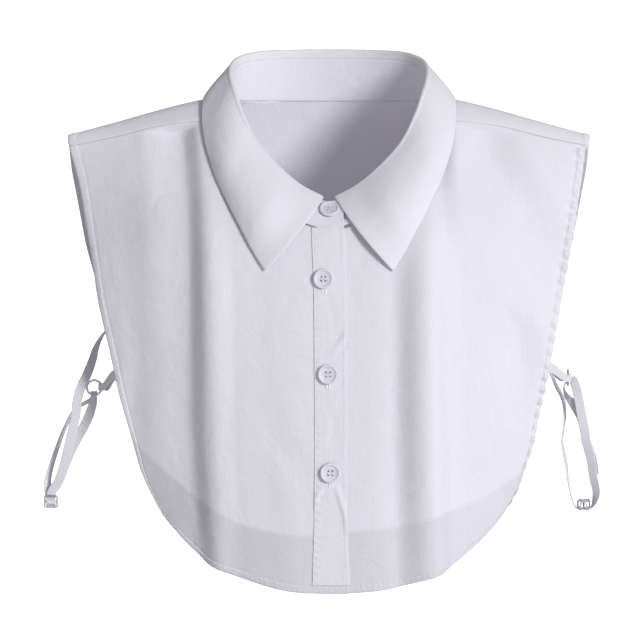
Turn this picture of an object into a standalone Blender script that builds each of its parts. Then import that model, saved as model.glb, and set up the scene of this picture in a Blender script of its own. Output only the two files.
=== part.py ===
"""Detachable shirt collar: two buttoned fronts, a short back, a stand and leaf, elastic side straps.

X runs to the viewer's right (the wearer's left), the front faces -Y and Z is up. The origin is
the centre of the neck opening at the level of the neck seam's sides. The cloth keeps the form
it has in the photograph: worn out round, with no wearer.
"""
import math

import bmesh
import bpy
import numpy as np

# Lengths in the tables are millimetres; meshes are written in metres.
MM = 0.001
SEAM_GAP = 0.3
# The shoulder seam is sampled apart on its two sides, so its gap is drawn a little wider.
SHOULDER_GAP = 0.5
# The placket band lies a little further off its curved front than a flat seam would.
BAND_GAP = 0.35

# Cloth thicknesses: single poplin, its rolled hem, the fused stand and the fused leaf.
CLOTH = 1.0
HEM_CLOTH = 1.8
HEM_WIDTH = 5.0
STAND_THICK = 1.6
LEAF_THICK = 1.4

# Shoulder ridge: distance from the centre, height of the ridge.
RIDGE = [
    (0, 12.0), (58, 11.2), (70, 11.4), (80, 12.0), (92, 9.8),
    (113, 4.4), (139, -3.0), (162, -9.2), (172, -11.8),
]
RIDGE_RADIUS = 14.0

# Fullness: way down the cloth from the ridge, depth in front of it and behind it.
FRONT_DEPTH = [
    (0, 0), (12, 11), (24, 21), (40, 34), (60, 48), (80, 61), (95, 69), (110, 73.5),
    (130, 77), (160, 79.5), (195, 80), (240, 78), (290, 74.5), (335, 71),
]
BACK_DEPTH = [
    (0, 0), (12, 11), (24, 21), (40, 32), (60, 43.5), (80, 50), (110, 55.5),
    (150, 59), (200, 60), (250, 57), (300, 52),
]
# The back rises to the nape by this much at the centre and none at this distance from it.
NAPE_RISE = 50.0
NAPE_REACH = 100.0
# The cloth rounds away to this share of its centre depth at the armhole edges.
EDGE_DEPTH = 0.38
ROUNDNESS = 2.4
# Half width used for the rounding: height, half width.
GIRTH = [
    (-300, 118), (-240, 119), (-212, 127), (-181, 135), (-149, 143), (-118, 150),
    (-71, 158.5), (-30, 166), (-17, 169), (20, 169),
]

# Armhole edge of the fronts: height, distance out on the wearer's right, on the wearer's left.
FRONT_EDGE = [
    (-248.5, 111, 117), (-240.5, 115, 121.5), (-225, 121, 127.4), (-209.5, 125.5, 132.6),
    (-193.5, 130, 135.5), (-178.5, 134, 139), (-147, 141, 145), (-115.5, 149, 150.8),
    (-92, 153, 155.4), (-68, 157.5, 159.5), (-45, 161.5, 163), (-33, 164.5, 164.8),
    (-18, 168.8, 166.5), (-8, 170, 168.3),
]
# Lower hem of the fronts: distance out on the right, on the left, height.
FRONT_HEM = [
    (0, 0, -303.5), (20, 22, -302.8), (34.5, 40, -300.5), (58.5, 65.6, -293),
    (76.7, 80.6, -285.5), (85.8, 90.3, -278), (94, 98.8, -270.5), (100.7, 106, -263),
    (106.6, 111.8, -256), (111, 117, -248.5),
]
# Armhole edge of the back: height, distance out.
BACK_EDGE = [
    (-222, 122), (-205, 127.5), (-178, 135), (-147, 142), (-120, 149), (-100, 154),
    (-85, 158), (-72, 160.5), (-61, 162.5), (-50, 164.5), (-33, 167.5), (-8, 169.5),
    (20, 169.5),
]
# Lower hem of the back: distance out, height.
BACK_HEM = [
    (0, -275), (15, -274.5), (50, -268), (85, -253), (104, -241), (116, -231), (122, -222),
]
# Forward shoulder seam: distance out, way down the front from the ridge.
SHOULDER_SEAM = [(70, 22), (80, 22.5), (113, 18.5), (140, 17.5), (168.6, 15.5)]

# Collar stations from the centre back to the centre front: distance out and way down the cloth
# of the neck seam, the crest of the fold, the leaf's edge on the cloth, the fold's height over
# the stand and the leaf's bulge.
COLLAR = [
    # neck x, neck way, fold x, fold y, fold z, edge x, edge way, roll, bulge
    (0, 65.5, 0, 44, 41, 0, 75, 6, 2),
    (28, 55.3, 27, 41.5, 41, 32, 66, 6, 2),
    (50, 38.8, 46.5, 32.5, 40.5, 58, 44, 6, 2),
    (64, 16, 57.5, 20, 38, 74, 23, 6, 2),
    (70, 4, 62.2, 5, 33, 80.5, 1, 6, 2),
    (70.8, -10, 62.2, -7, 26.5, 82, -21, 6, 2),
    (69.6, -23, 59.8, -18, 18.5, 79.5, -40, 6, 2),
    (64.5, -37, 55, -28.5, 4.5, 74, -57.5, 5.5, 2),
    (56, -53.5, 46.5, -36.5, -13, 67.5, -71.5, 5, 2),
    (44, -68.5, 34, -42.5, -27.5, 59.5, -86.5, 4.5, 4),
    (28, -82.5, 19.5, -46, -40.3, 50.5, -103, 4, 7),
    (5, -91.5, 5, -47.5, -48.5, 41.2, -118, 3, 11),
]
# Extra rows for the stand only: its ends pass the centre front.
STAND_ENDS = [
    (0, -92, 0, -47.8, -49.2, 0, -118, 3.2, 8),
    (-9.5, -90.4, -9.5, -47.1, -46.8, -9.5, -118, 3.8, 8),
]
STAND_LAP = 1.3
STAND_TIP_RADIUS = 5.0
# Share of its height that the stand's rounded tip loses at its very end.
STAND_TIP_DROP = 0.28
# Length of half the collar's fold, and how far past it the stand's ends reach, as a share.
HALF_COLLAR = 190.0
STAND_REACH = 1.076
# Places along the collar, as shares of the half: where the stand's front lap and bow begin.
LAP_START = 0.86
BOW_START = 0.75
STAND_BOW = 0.6
LEAF_FOLD_RADIUS = 1.8
LEAF_LIFT = 2.6
# The leaf's seam gap is measured at the crest's bend, where both edges are sampled apart.
LEAF_SEAM_GAP = 0.6

# Placket band on the right front: height, its left and right edges.
PLACKET = [(-60, -11.5, 9.6), (-112, -9.8, 11.2), (-245, -9.4, 11.4), (-305, -11, 13.8)]
PLACKET_TOP_WAY = 92.0
PLACKET_LOW_WAY = 323.0
# The right front's free edge lies this far inside its band; the left front ends under it.
BAND_OVERHANG = 0.6
UNDER_LAP = -10.5
# The left front comes out from under the right one over this stretch beside the centre.
LAP_FROM = 12.0
LAP_WIDTH = 34.0
# Size of one front, for the width of its narrow hem rows.
FRONT_WIDTH = 150.0
FRONT_LENGTH = 250.0

# Largest folds of the fronts: crest x at the top and at the hem, width of the side that turns
# to the viewer's left, width of the other side, height of the crest, heights it fades at.
FRONT_FOLDS = [
    (-76, -68, 17, 34, 3.4, -20, -300),
    (70, 70, 27, 20, 3.6, -45, -300),
    (-118, -100, 22, 26, 1.4, -20, -240),
    (112, 104, 30, 22, 1.6, -30, -260),
]
BACK_FOLDS = [
    (-62, -58, 24, 24, 2.4, -30, -270),
    (60, 64, 24, 24, 2.6, -30, -270),
    (6, 0, 26, 20, 1.5, -60, -270),
]

# Buttons on the placket: x and height of the centre.
BUTTONS = [("button_top", -3.6, -98.5), ("button_middle", -1.0, -160.0), ("button_low", 0.9, -224.0)]
COLLAR_BUTTON_X = 0.6
BUTTON_RADIUS = 6.6
BUTTON_THICK = 2.4
BUTTON_HOLE_RADIUS = 0.9
BUTTON_HOLE_SPACING = 2.6
BUTTON_GAP = 0.4

# Elastic of the straps and tabs, and a tab's width where it is gathered in its ring.
ELASTIC_WIDTH = 6.2
ELASTIC_THICK = 0.9
GATHERED_WIDTH = 3.6

# Each strap runs from the back's edge down through the slider, up to the ring and down to the
# slider again: x, y, z, turn of the flat side from X toward Y, width.
STRAP_RIGHT = [
    (-141.6, 21.0, -137.5, 50, 6.2), (-145.6, 17.5, -141.0, 50, 6.2), (-149.4, 11, -146.5, 40, 6.2),
    (-152.0, 4, -152.0, 25, 6.2),
    (-153.8, -3, -157.5, 15, 6.2), (-156.9, -10, -165.5, 5, 6.2), (-160.8, -14.5, -173.5, 0, 6.2),
    (-163.4, -15.6, -182.0, 0, 6.2), (-164.8, -14.8, -194.0, 0, 6.2), (-167.2, -13.2, -204.5, 0, 6.2),
    (-170.4, -10.8, -218.0, 0, 6.2), (-173.8, -7.8, -231.0, 0, 6.2), (-177.4, -4.4, -239.5, 0, 6.2),
    (-180.3, -3.2, -243.6, 0, 6.2), (-181.0, -3.1, -246.6, 0, 6.2), (-181.0, -5.0, -248.1, 0, 6.2),
    (-181.0, -6.8, -250.0, 0, 6.2), (-181.0, -5.0, -251.9, 0, 6.2), (-181.0, -3.1, -252.9, 0, 6.2),
    (-181.0, -1.5, -251.0, 0, 6.2), (-181.3, -1.2, -247.0, 5, 6.2), (-182.8, -1.0, -242.6, 20, 6.2),
    (-183.2, -0.4, -237.0, 40, 6.2), (-181.2, 0.4, -228.5, 55, 6.2), (-177.8, 0.6, -218.0, 60, 6.2),
    (-173.4, 0.0, -206.0, 65, 6.2), (-169.4, -1.0, -197.0, 65, 6.2), (-165.6, -2.2, -190.6, 60, 6.2),
    (-161.0, -3.4, -187.0, 45, 6.0), (-156.6, -5.0, -184.6, 20, 5.2), (-153.6, -6.2, -182.9, 0, 4.4),
    (-152.8, -6.4, -179.8, 0, 4.2), (-152.8, -8.4, -177.7, 0, 4.2), (-152.8, -10.4, -179.8, 0, 4.2),
    (-153.0, -10.6, -182.8, 0, 4.6), (-153.8, -10.8, -186.5, 0, 5.6), (-156.6, -9.9, -194.5, 0, 6.2),
    (-160.4, -8.6, -202.5, 0, 6.2), (-165.0, -7.0, -211.0, 0, 6.2), (-170.2, -5.0, -222.5, 0, 6.2),
    (-173.9, -3.4, -232.0, 0, 6.2), (-175.9, -2.8, -237.0, 0, 6.2),
]
STRAP_LEFT = [
    (141.7, 21.3, -137.5, -50, 6.2), (145.4, 17.0, -149.0, -75, 6.2), (148.0, 11, -164.0, -80, 6.2),
    (150.0, 6.4, -175.5, -80, 6.2), (151.5, 4, -184.0, -80, 6.2), (152.8, 2, -194.0, -78, 6.2),
    (152.6, 0.6, -204.0, -75, 6.2), (151.9, 0, -212.0, -75, 6.2), (153.3, -0.6, -220.0, -75, 6.2),
    (154.9, -1.2, -228.5, -80, 6.2), (155.7, -1.8, -236.6, -85, 6.2), (157.2, -2.4, -244.6, -90, 6.2),
    (159.4, -2.8, -251.8, -90, 6.2), (161.6, -3.0, -254.5, -90, 6.2), (163.3, -3.0, -253.9, -90, 6.2),
    (163.95, -3.0, -252.1, -90, 6.2), (164.6, -3.0, -250.6, -90, 6.2), (165.8, -3.0, -250.1, -90, 6.2),
    (167.0, -3.0, -250.6, -90, 6.2), (167.65, -3.0, -252.1, -90, 6.2), (168.3, -3.0, -253.9, -90, 6.2),
    (170.0, -3.0, -254.5, -90, 6.2),
    (172.8, -3.6, -250.8, -90, 6.2), (174.0, -4.2, -243.6, -70, 6.2), (171.8, -5.6, -234.7, -45, 6.2),
    (170.5, -7.0, -222.8, -25, 6.2), (167.2, -8.4, -210.0, -10, 6.2), (165.8, -9.4, -200.0, 0, 6.2),
    (164.2, -10.2, -192.8, 0, 6.2), (162.9, -10.8, -185.5, 0, 6.2), (160.8, -10.4, -179.5, -20, 5.6),
    (158.2, -9.0, -176.3, -60, 4.8), (157.4, -8.2, -173.1, -90, 4.2), (155.4, -8.2, -171.0, -90, 4.2),
    (153.4, -8.2, -173.1, -90, 4.2), (153.0, -8.2, -176.0, -80, 4.4), (155.2, -7.2, -181.2, -40, 5.4),
    (159.4, -7.2, -186.6, -10, 6.2), (163.6, -7.2, -193.6, 0, 6.2), (165.8, -6.8, -200.6, 0, 6.2),
    (167.6, -5.8, -210.0, -10, 6.2), (171.8, -4.6, -222.8, -25, 6.2), (173.5, -3.9, -232.0, -45, 6.2),
]
# Tabs: where the front's edge holds them, the ring's wire they go round, length of the turn.
TABS = [
    ("tab_right", (-137.7, -31.7, -166.2), (-147.8, -8.4, -174.8)),
    ("tab_left", (142.8, -27.8, -162.6), (155.4, -13.2, -168.3)),
]
TAB_THICK = 0.8
# Play of the tab's turn round the ring's wire.
TAB_EASE = 0.95
RING_MAJOR = 4.8
RING_WIRE = 0.6
# Rings and sliders: centre, then the turn about X, Y and Z in degrees.
RINGS = [
    ("ring_right", (-152.6, -8.4, -175.2), (90, 0, 0)),
    ("ring_left", (155.4, -8.4, -168.6), (0, 90, 0)),
]
SLIDERS = [
    ("slider_right", (-181.0, -5.0, -250.0), (90, 0, 0)),
    ("slider_left", (165.8, -3.0, -252.1), (0, 0, 90)),
]
SLIDER_SIZE = (9.2, 8.6, 1.3)
SLIDER_SLOT = (7.2, 2.6)
SLIDER_SLOT_OFFSET = 1.9


for scene_object in list(bpy.data.objects):
    bpy.data.objects.remove(scene_object, do_unlink=True)

collar_parts = bpy.data.collections.new("detachable_shirt_collar")
bpy.context.scene.collection.children.link(collar_parts)
cutters = bpy.data.collections.new("cutters")
bpy.context.scene.collection.children.link(cutters)
cutters.hide_render = True


def material(name, colour, roughness, clear=0.0):
    made = bpy.data.materials.new(name)
    made.use_nodes = True
    shader = made.node_tree.nodes["Principled BSDF"]
    shader.inputs["Base Color"].default_value = (*colour, 1.0)
    shader.inputs["Roughness"].default_value = roughness
    shader.inputs["Transmission Weight"].default_value = clear
    return made


# Smooth curves through short tables.

def soft_step(value):
    value = min(max(value, 0.0), 1.0)
    return value * value * (3.0 - 2.0 * value)


def read_table(rows, at):
    """Value of a two-column table, smooth between its rows."""
    keys = [row[0] for row in rows]
    values = [row[1] for row in rows]
    if at <= keys[0]:
        return values[0]
    if at >= keys[-1]:
        return values[-1]
    first = max(row for row in range(len(keys) - 1) if keys[row] <= at)
    span = keys[first + 1] - keys[first]
    part = (at - keys[first]) / span
    slopes = []
    for row in (first, first + 1):
        low = max(row - 1, 0)
        high = min(row + 1, len(keys) - 1)
        slopes.append((values[high] - values[low]) / (keys[high] - keys[low]) * span)
    square = part * part
    cube = square * part
    start = (2 * cube - 3 * square + 1) * values[first] + (cube - 2 * square + part) * slopes[0]
    end = (3 * square - 2 * cube) * values[first + 1] + (cube - square) * slopes[1]
    return start + end


def read_curve(rows, parts):
    """Points of a smooth curve through the rows, at shares of its length."""
    points = np.array(rows, dtype=float)
    chords = np.linalg.norm(np.diff(points[:, :3], axis=0), axis=1)
    keys = np.concatenate([[0.0], np.cumsum(chords)]) / chords.sum()
    columns = []
    for column in range(points.shape[1]):
        table = list(zip(keys, points[:, column]))
        columns.append([read_table(table, part) for part in parts])
    return np.array(columns).T


def row_shares(rows, steps):
    """Shares of a curve's length at its rows and at even steps between them."""
    points = np.array(rows, dtype=float)
    chords = np.linalg.norm(np.diff(points[:, :3], axis=0), axis=1)
    keys = np.concatenate([[0.0], np.cumsum(chords)]) / chords.sum()
    places = np.linspace(0, len(rows) - 1, (len(rows) - 1) * steps + 1)
    return np.interp(places, np.arange(len(rows)), keys)


# Form of the cloth: way is the length down from the shoulder ridge, minus in front.

def cloth_point(out, way, side_folds=True):
    """Point of the garment's surface for a distance out from the centre and a way down."""
    reach = abs(out)
    rise = 0.0
    if way > 0:
        rise = NAPE_RISE * (1.0 - soft_step(reach / NAPE_REACH)) * soft_step(way / 40.0)
    height = read_table(RIDGE, reach) + rise - (math.hypot(way, RIDGE_RADIUS) - RIDGE_RADIUS)
    share = min(reach / read_table(GIRTH, height), 1.06)
    rounding = 1.0 - (1.0 - EDGE_DEPTH) * share ** ROUNDNESS
    if way >= 0:
        depth = read_table(BACK_DEPTH, way) * rounding
    else:
        depth = -read_table(FRONT_DEPTH, -way) * rounding
    if side_folds:
        folds = BACK_FOLDS if way > 0 else FRONT_FOLDS
        depth += math.copysign(fold_height(folds, out, height), way)
    return np.array([out, depth, height])


def fold_height(folds, out, height):
    """Height of the soft standing folds over the smooth cloth."""
    total = 0.0
    for top_x, low_x, left_width, right_width, crest, top_z, low_z in folds:
        share = (height - top_z) / (low_z - top_z)
        crest_x = top_x + (low_x - top_x) * min(max(share, 0.0), 1.0)
        width = left_width if out < crest_x else right_width
        across = soft_step(1.0 - abs(out - crest_x) / width)
        fade = soft_step(share / 0.25) * (1.0 - 0.35 * soft_step((share - 0.7) / 0.3))
        total += crest * across * fade
    return total


def cloth_normal(out, way):
    """Outward direction of the garment's surface."""
    step = 0.6
    across = cloth_point(out + step, way) - cloth_point(out - step, way)
    down = cloth_point(out, way + step) - cloth_point(out, way - step)
    normal = np.cross(across, down)
    return normal / np.linalg.norm(normal)


def way_at(out, height, side):
    """Way down the cloth at a height, in front (side -1) or behind (side 1)."""
    low, high = 0.0, 345.0
    for _ in range(40):
        middle = (low + high) / 2.0
        if cloth_point(out, side * middle, False)[2] > height:
            low = middle
        else:
            high = middle
    return side * low


# Meshes.

def add_mesh(name, points, faces, made_of):
    mesh = bpy.data.meshes.new(name)
    mesh.from_pydata([tuple(point) for point in np.array(points) * MM], [], faces)
    mesh.materials.append(made_of)
    mesh.validate()
    turned = bmesh.new()
    turned.from_mesh(mesh)
    bmesh.ops.recalc_face_normals(turned, faces=turned.faces)
    turned.to_mesh(mesh)
    turned.free()
    part = bpy.data.objects.new(name, mesh)
    collar_parts.objects.link(part)
    return part


def grid_normals(middle):
    across = np.gradient(middle, axis=0)
    down = np.gradient(middle, axis=1)
    normals = np.cross(across, down)
    return normals / np.linalg.norm(normals, axis=2, keepdims=True)


def cloth_solid(name, middle, thickness, made_of):
    """Closed cloth of a grid of points, with its thickness shared to both sides."""
    columns, rows = middle.shape[:2]
    half = np.broadcast_to(np.asarray(thickness, dtype=float), (columns, rows))[..., None] / 2.0
    normals = grid_normals(middle)
    outer = (middle + normals * half).reshape(-1, 3)
    inner = (middle - normals * half).reshape(-1, 3)
    total = columns * rows
    faces = []
    for column in range(columns - 1):
        for row in range(rows - 1):
            a = column * rows + row
            b = a + rows
            faces.append((a, b, b + 1, a + 1))
            faces.append((a + total, a + 1 + total, b + 1 + total, b + total))
    rim = [(column, 0) for column in range(columns)]
    rim += [(columns - 1, row) for row in range(1, rows)]
    rim += [(column, rows - 1) for column in range(columns - 2, -1, -1)]
    rim += [(0, row) for row in range(rows - 2, 0, -1)]
    ring = [column * rows + row for column, row in rim]
    for index, vertex in enumerate(ring):
        following = ring[(index + 1) % len(ring)]
        faces.append((following, vertex, vertex + total, following + total))
    return add_mesh(name, np.vstack([outer, inner]), faces, made_of)


def flat_strip(name, points, turns, width, thickness, made_of):
    """Closed flat strip along a path, its flat side turned row by row."""
    tangents = np.gradient(points, axis=0)
    tangents /= np.linalg.norm(tangents, axis=1, keepdims=True)
    sides = turns - tangents * np.sum(turns * tangents, axis=1, keepdims=True)
    sides /= np.linalg.norm(sides, axis=1, keepdims=True)
    faces_out = np.cross(tangents, sides)
    corners = []
    for side, out in ((-0.5, -0.5), (0.5, -0.5), (0.5, 0.5), (-0.5, 0.5)):
        corners.append(points + sides * side * width + faces_out * out * thickness)
    vertices = np.stack(corners, axis=1).reshape(-1, 3)
    faces = []
    count = len(points)
    for row in range(count - 1):
        for corner in range(4):
            following = (corner + 1) % 4
            a = row * 4 + corner
            b = row * 4 + following
            faces.append((a, a + 4, b + 4, b))
    faces.append((0, 1, 2, 3))
    last = (count - 1) * 4
    faces.append((last + 3, last + 2, last + 1, last))
    return add_mesh(name, vertices, faces, made_of)


def patch(top, low, left, right):
    """Grid of points between four edges that share their corners."""
    columns = len(top)
    rows = len(left)
    across = np.linspace(0.0, 1.0, columns)[:, None, None]
    down = np.linspace(0.0, 1.0, rows)[None, :, None]
    between = (1 - down) * top[:, None, :] + down * low[:, None, :]
    between = between + (1 - across) * left[None, :, :] + across * right[None, :, :]
    corners = (1 - across) * (1 - down) * top[0] + across * (1 - down) * top[-1]
    corners = corners + (1 - across) * down * low[0] + across * down * low[-1]
    return between - corners


# Materials of the real pieces.
poplin = material("white_poplin", (0.80, 0.81, 0.86), 0.85)
fused_poplin = material("white_fused_poplin", (0.82, 0.83, 0.88), 0.8)
elastic = material("white_elastic", (0.70, 0.71, 0.76), 0.8)
button_resin = material("white_button_resin", (0.78, 0.79, 0.80), 0.3)
clear_plastic = material("clear_plastic", (0.85, 0.86, 0.88), 0.15, 0.6)


# Fronts: from the neck and shoulder seams down to the hem.

def centre_edge(side, height):
    """Edge of a front at the centre, as distance to the viewer's right."""
    if side > 0:
        return UNDER_LAP
    return read_table([(row[0], row[2]) for row in PLACKET[::-1]], height) - BAND_OVERHANG


def front_edges(side, columns, rows):
    """The four edges of one front, as distance out and way down."""
    neck = [(row[0], abs(row[1])) for row in COLLAR if row[1] < -21]
    neck = neck[::-1]
    start = (centre_edge(side, -65.0) * side, 91.5)
    neck_rows = [start] + [row for row in neck if row[0] > start[0] + 4.0]
    neck_columns = int(columns * 0.5)
    neck_part = read_curve(neck_rows, np.linspace(0, 1, neck_columns + 1))
    shoulder_rows = [(neck_rows[-1][0], neck_rows[-1][1])]
    shoulder_rows += [(out, way + SHOULDER_GAP / 2) for out, way in SHOULDER_SEAM[1:]]
    shoulder_part = read_curve(shoulder_rows, np.linspace(0, 1, columns - neck_columns))
    top = np.vstack([neck_part, shoulder_part[1:]])
    edge_column = 1 if side < 0 else 2
    corner_z = FRONT_EDGE[0][0]
    tip_z = cloth_point(SHOULDER_SEAM[-1][0], -SHOULDER_SEAM[-1][1])[2]
    right = []
    for part in np.linspace(0, 1, rows):
        height = tip_z + (corner_z - tip_z) * part
        out = read_table([(row[0], row[edge_column]) for row in FRONT_EDGE], height)
        right.append((out, abs(way_at(out, height, -1))))
    right = np.array(right)
    right[0] = top[-1]
    hem_rows = [(row[0] if side < 0 else row[1], row[2]) for row in FRONT_HEM]
    hem_start = (centre_edge(side, -303.0) * side, FRONT_HEM[0][2])
    hem_rows = [hem_start] + [row for row in hem_rows if row[0] > hem_start[0] + 4.0]
    low = []
    for out, height in read_curve(hem_rows, np.linspace(0, 1, columns)):
        low.append((out, abs(way_at(out, height, -1))))
    low = np.array(low)
    low[-1] = right[-1]
    left = []
    for part in np.linspace(0, 1, rows):
        way = top[0][1] + (low[0][1] - top[0][1]) * part
        height = cloth_point(0.0, -way)[2]
        left.append((centre_edge(side, height) * side, way))
    left = np.array(left)
    left[0] = top[0]
    left[-1] = low[0]
    return top, low, left, right


def hem_shares(count, length):
    """Even shares with one narrow last row for the rolled hem."""
    inner = np.linspace(0.0, 1.0 - HEM_WIDTH / length, count - 1)
    return np.append(inner, 1.0)


def build_front(name, side, lap):
    columns, rows = 21, 25
    top, low, left, right = front_edges(side, columns, rows)
    even_across = np.linspace(0, 1, columns)
    even_down = np.linspace(0, 1, rows)
    ways = patch(top, low, left, right)
    across = hem_shares(columns, FRONT_WIDTH)
    down = hem_shares(rows, FRONT_LENGTH)
    middle = np.zeros((columns, rows, 3))
    for column in range(columns):
        for row in range(rows):
            out_way = []
            for axis in range(2):
                line = [np.interp(down[row], even_down, ways[index, :, axis]) for index in range(columns)]
                out_way.append(np.interp(across[column], even_across, line))
            out = out_way[0] * side
            way = -out_way[1]
            point = cloth_point(out, way)
            if lap:
                under = 1.0 - soft_step((out * side - LAP_FROM) / LAP_WIDTH)
                point = point - cloth_normal(out, way) * lap * under
            middle[column, row] = point
    thickness = np.full((columns, rows), CLOTH)
    thickness[-1, :] = HEM_CLOTH
    thickness[:, -1] = HEM_CLOTH
    if side < 0:
        middle = middle[::-1]
        thickness = thickness[::-1]
    cloth_solid(name, middle[:, ::-1], thickness[:, ::-1], poplin)


build_front("front_right", -1, 0.0)
build_front("front_left", 1, HEM_CLOTH + SEAM_GAP)


# Back: from the neck seam and over the ridge to the shoulder seam, down to its own hem.

def build_back():
    columns, rows = 19, 21
    neck = [(row[0], row[1]) for row in COLLAR if row[1] > -22.0]
    neck.append((SHOULDER_SEAM[0][0], -SHOULDER_SEAM[0][1] + SHOULDER_GAP / 2))
    neck_columns = int(columns * 0.55)
    neck_part = read_curve(neck, np.linspace(0, 1, neck_columns + 1))
    shoulder = [(out, -way + SHOULDER_GAP / 2) for out, way in SHOULDER_SEAM]
    shoulder_part = read_curve(shoulder, np.linspace(0, 1, columns - neck_columns))
    top = np.vstack([neck_part, shoulder_part[1:]])
    hem = read_curve(BACK_HEM, np.linspace(0, 1, columns))
    low = np.array([(out, way_at(out, height, 1)) for out, height in hem])
    over_ridge = [(BACK_EDGE[-1][1], way) for way in np.linspace(top[-1][1], 14.0, 4)]
    tip_z = cloth_point(BACK_EDGE[-1][1], 14.0, False)[2]
    right = over_ridge[:-1]
    for height in np.linspace(tip_z, BACK_EDGE[0][0], rows - 3):
        out = read_table(BACK_EDGE, height)
        right.append((out, way_at(out, height, 1)))
    right = np.array(right)
    right[0] = top[-1]
    right[-1] = low[-1]
    down = np.linspace(0, 1, rows)[:, None]
    left = (1 - down) * top[0] + down * low[0]
    ways = patch(top, low, left, right)
    half = np.zeros((columns, rows, 3))
    for column in range(columns):
        for row in range(rows):
            half[column, row] = cloth_point(ways[column, row, 0], ways[column, row, 1])
    mirrored = np.zeros((columns, rows, 3))
    for column in range(columns):
        for row in range(rows):
            mirrored[column, row] = cloth_point(-ways[column, row, 0], ways[column, row, 1])
    middle = np.vstack([mirrored[:0:-1], half])
    thickness = np.full(middle.shape[:2], CLOTH)
    thickness[0, :] = HEM_CLOTH
    thickness[-1, :] = HEM_CLOTH
    thickness[:, -1] = HEM_CLOTH
    cloth_solid("back_panel", middle, thickness, poplin)


build_back()


# Collar: stations are read along the half neck, then mirrored.

def station(share, side, stand_end=False):
    """Neck seam, fold crest, leaf edge, roll and bulge at a share of the half."""
    rows = COLLAR + STAND_ENDS if stand_end else COLLAR
    keyed = []
    length = 0.0
    for index, row in enumerate(rows):
        if index:
            before = rows[index - 1]
            length += math.dist(before[2:5], row[2:5])
        keyed.append(length)
    keys = [key / keyed[len(COLLAR) - 1] for key in keyed]
    values = [read_table(list(zip(keys, [row[column] for row in rows])), share) for column in range(9)]
    neck = cloth_point(values[0] * side, values[1])
    fold = np.array([values[2] * side, values[3], values[4]])
    edge = cloth_point(values[5] * side, values[6]) + cloth_normal(values[5] * side, values[6]) * LEAF_LIFT
    return neck, fold, edge, values[7], values[8]


def collar_frames(shares_and_sides, stand_end):
    """Stations round the neck, with the directions up the stand and out from it."""
    rows = [station(share, side, stand_end) for share, side in shares_and_sides]
    folds = np.array([row[1] for row in rows])
    necks = np.array([row[0] for row in rows])
    tangents = np.gradient(folds, axis=0)
    tangents /= np.linalg.norm(tangents, axis=1, keepdims=True)
    ups = folds - necks
    ups /= np.linalg.norm(ups, axis=1, keepdims=True)
    outs = np.cross(tangents, ups)
    outs /= np.linalg.norm(outs, axis=1, keepdims=True)
    if outs[len(outs) // 2][1] < 0:
        outs = -outs
    return rows, necks, folds, ups, outs


def round_neck(count, reach):
    """Shares of the half neck from the right front round the back to the left front."""
    spread = np.linspace(-reach, reach, count)
    return [(abs(value), -1 if value < 0 else 1) for value in spread]


def stand_grid():
    """Middle of the stand from its right end round the back to its left end."""
    places = round_neck(61, STAND_REACH)
    rows, necks, folds, ups, outs = collar_frames(places, True)
    lines = 5
    middle = np.zeros((len(places), lines, 3))
    for index, (share, side) in enumerate(places):
        height = np.linalg.norm(folds[index] - necks[index]) - rows[index][3]
        end_way = (STAND_REACH - share) * HALF_COLLAR
        corner = 1.0
        if end_way < STAND_TIP_RADIUS:
            drop = 1.0 - end_way / STAND_TIP_RADIUS
            corner = 1.0 - STAND_TIP_DROP * (1.0 - math.sqrt(max(1.0 - drop * drop, 0.0)))
        at_front = soft_step((share - LAP_START) / 0.1)
        lap = STAND_LAP * at_front * (1.0 if side < 0 else -1.0)
        front_bow = STAND_BOW * soft_step((share - BOW_START) / 0.25)
        # The stand's lower edge is held off the cloth: least on top, most where it runs under.
        base_gap = 0.55 + 0.5 * soft_step((share - 0.25) / 0.2)
        base_gap += at_front * (-0.5 if side < 0 else 1.3)
        for line in range(lines):
            part = line / (lines - 1)
            along = base_gap + (height * corner - base_gap) * part
            bow = front_bow * math.sin(math.pi * part)
            middle[index, line] = necks[index] + ups[index] * along + outs[index] * (lap + bow)
    return middle


def leaf_grid():
    """Middle of the leaf: up from the stand's edge, over the fold and down to its free edge."""
    places = round_neck(57, 1.0)
    rows, _, _, ups, outs = collar_frames(places, False)
    columns = []
    for index in range(len(places)):
        _, fold, edge, roll, bulge = rows[index]
        up = ups[index]
        out = outs[index]
        radius = LEAF_FOLD_RADIUS
        base = fold - up * (roll - LEAF_SEAM_GAP)
        turn = fold - up * radius
        # A high roll has room for a point halfway; a low one takes it nearer the bend.
        base_part = 0.5 if roll > 4.5 else 0.4
        column = [base, base * base_part + turn * (1.0 - base_part)]
        for angle in (180, 140, 100, 60, 20):
            bend = math.radians(angle)
            column.append(turn + out * radius * (1.0 + math.cos(bend)) + up * radius * math.sin(bend))
        start = turn + out * radius * 2.05 - up * 0.6
        flat_out = np.array([out[0], out[1], out[2] * 0.4])
        flat_out /= np.linalg.norm(flat_out)
        control = (start + edge) / 2.0 + flat_out * 2.0 * bulge
        for part in np.linspace(0.0, 1.0, 8):
            column.append(start * (1 - part) ** 2 + control * 2 * part * (1 - part) + edge * part ** 2)
        columns.append(column)
    return np.array(columns)


stand_middle = stand_grid()
cloth_solid("collar_stand", stand_middle, STAND_THICK, fused_poplin)
cloth_solid("collar_leaf", leaf_grid(), LEAF_THICK, fused_poplin)


# Placket band on the outside of the right front.

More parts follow.
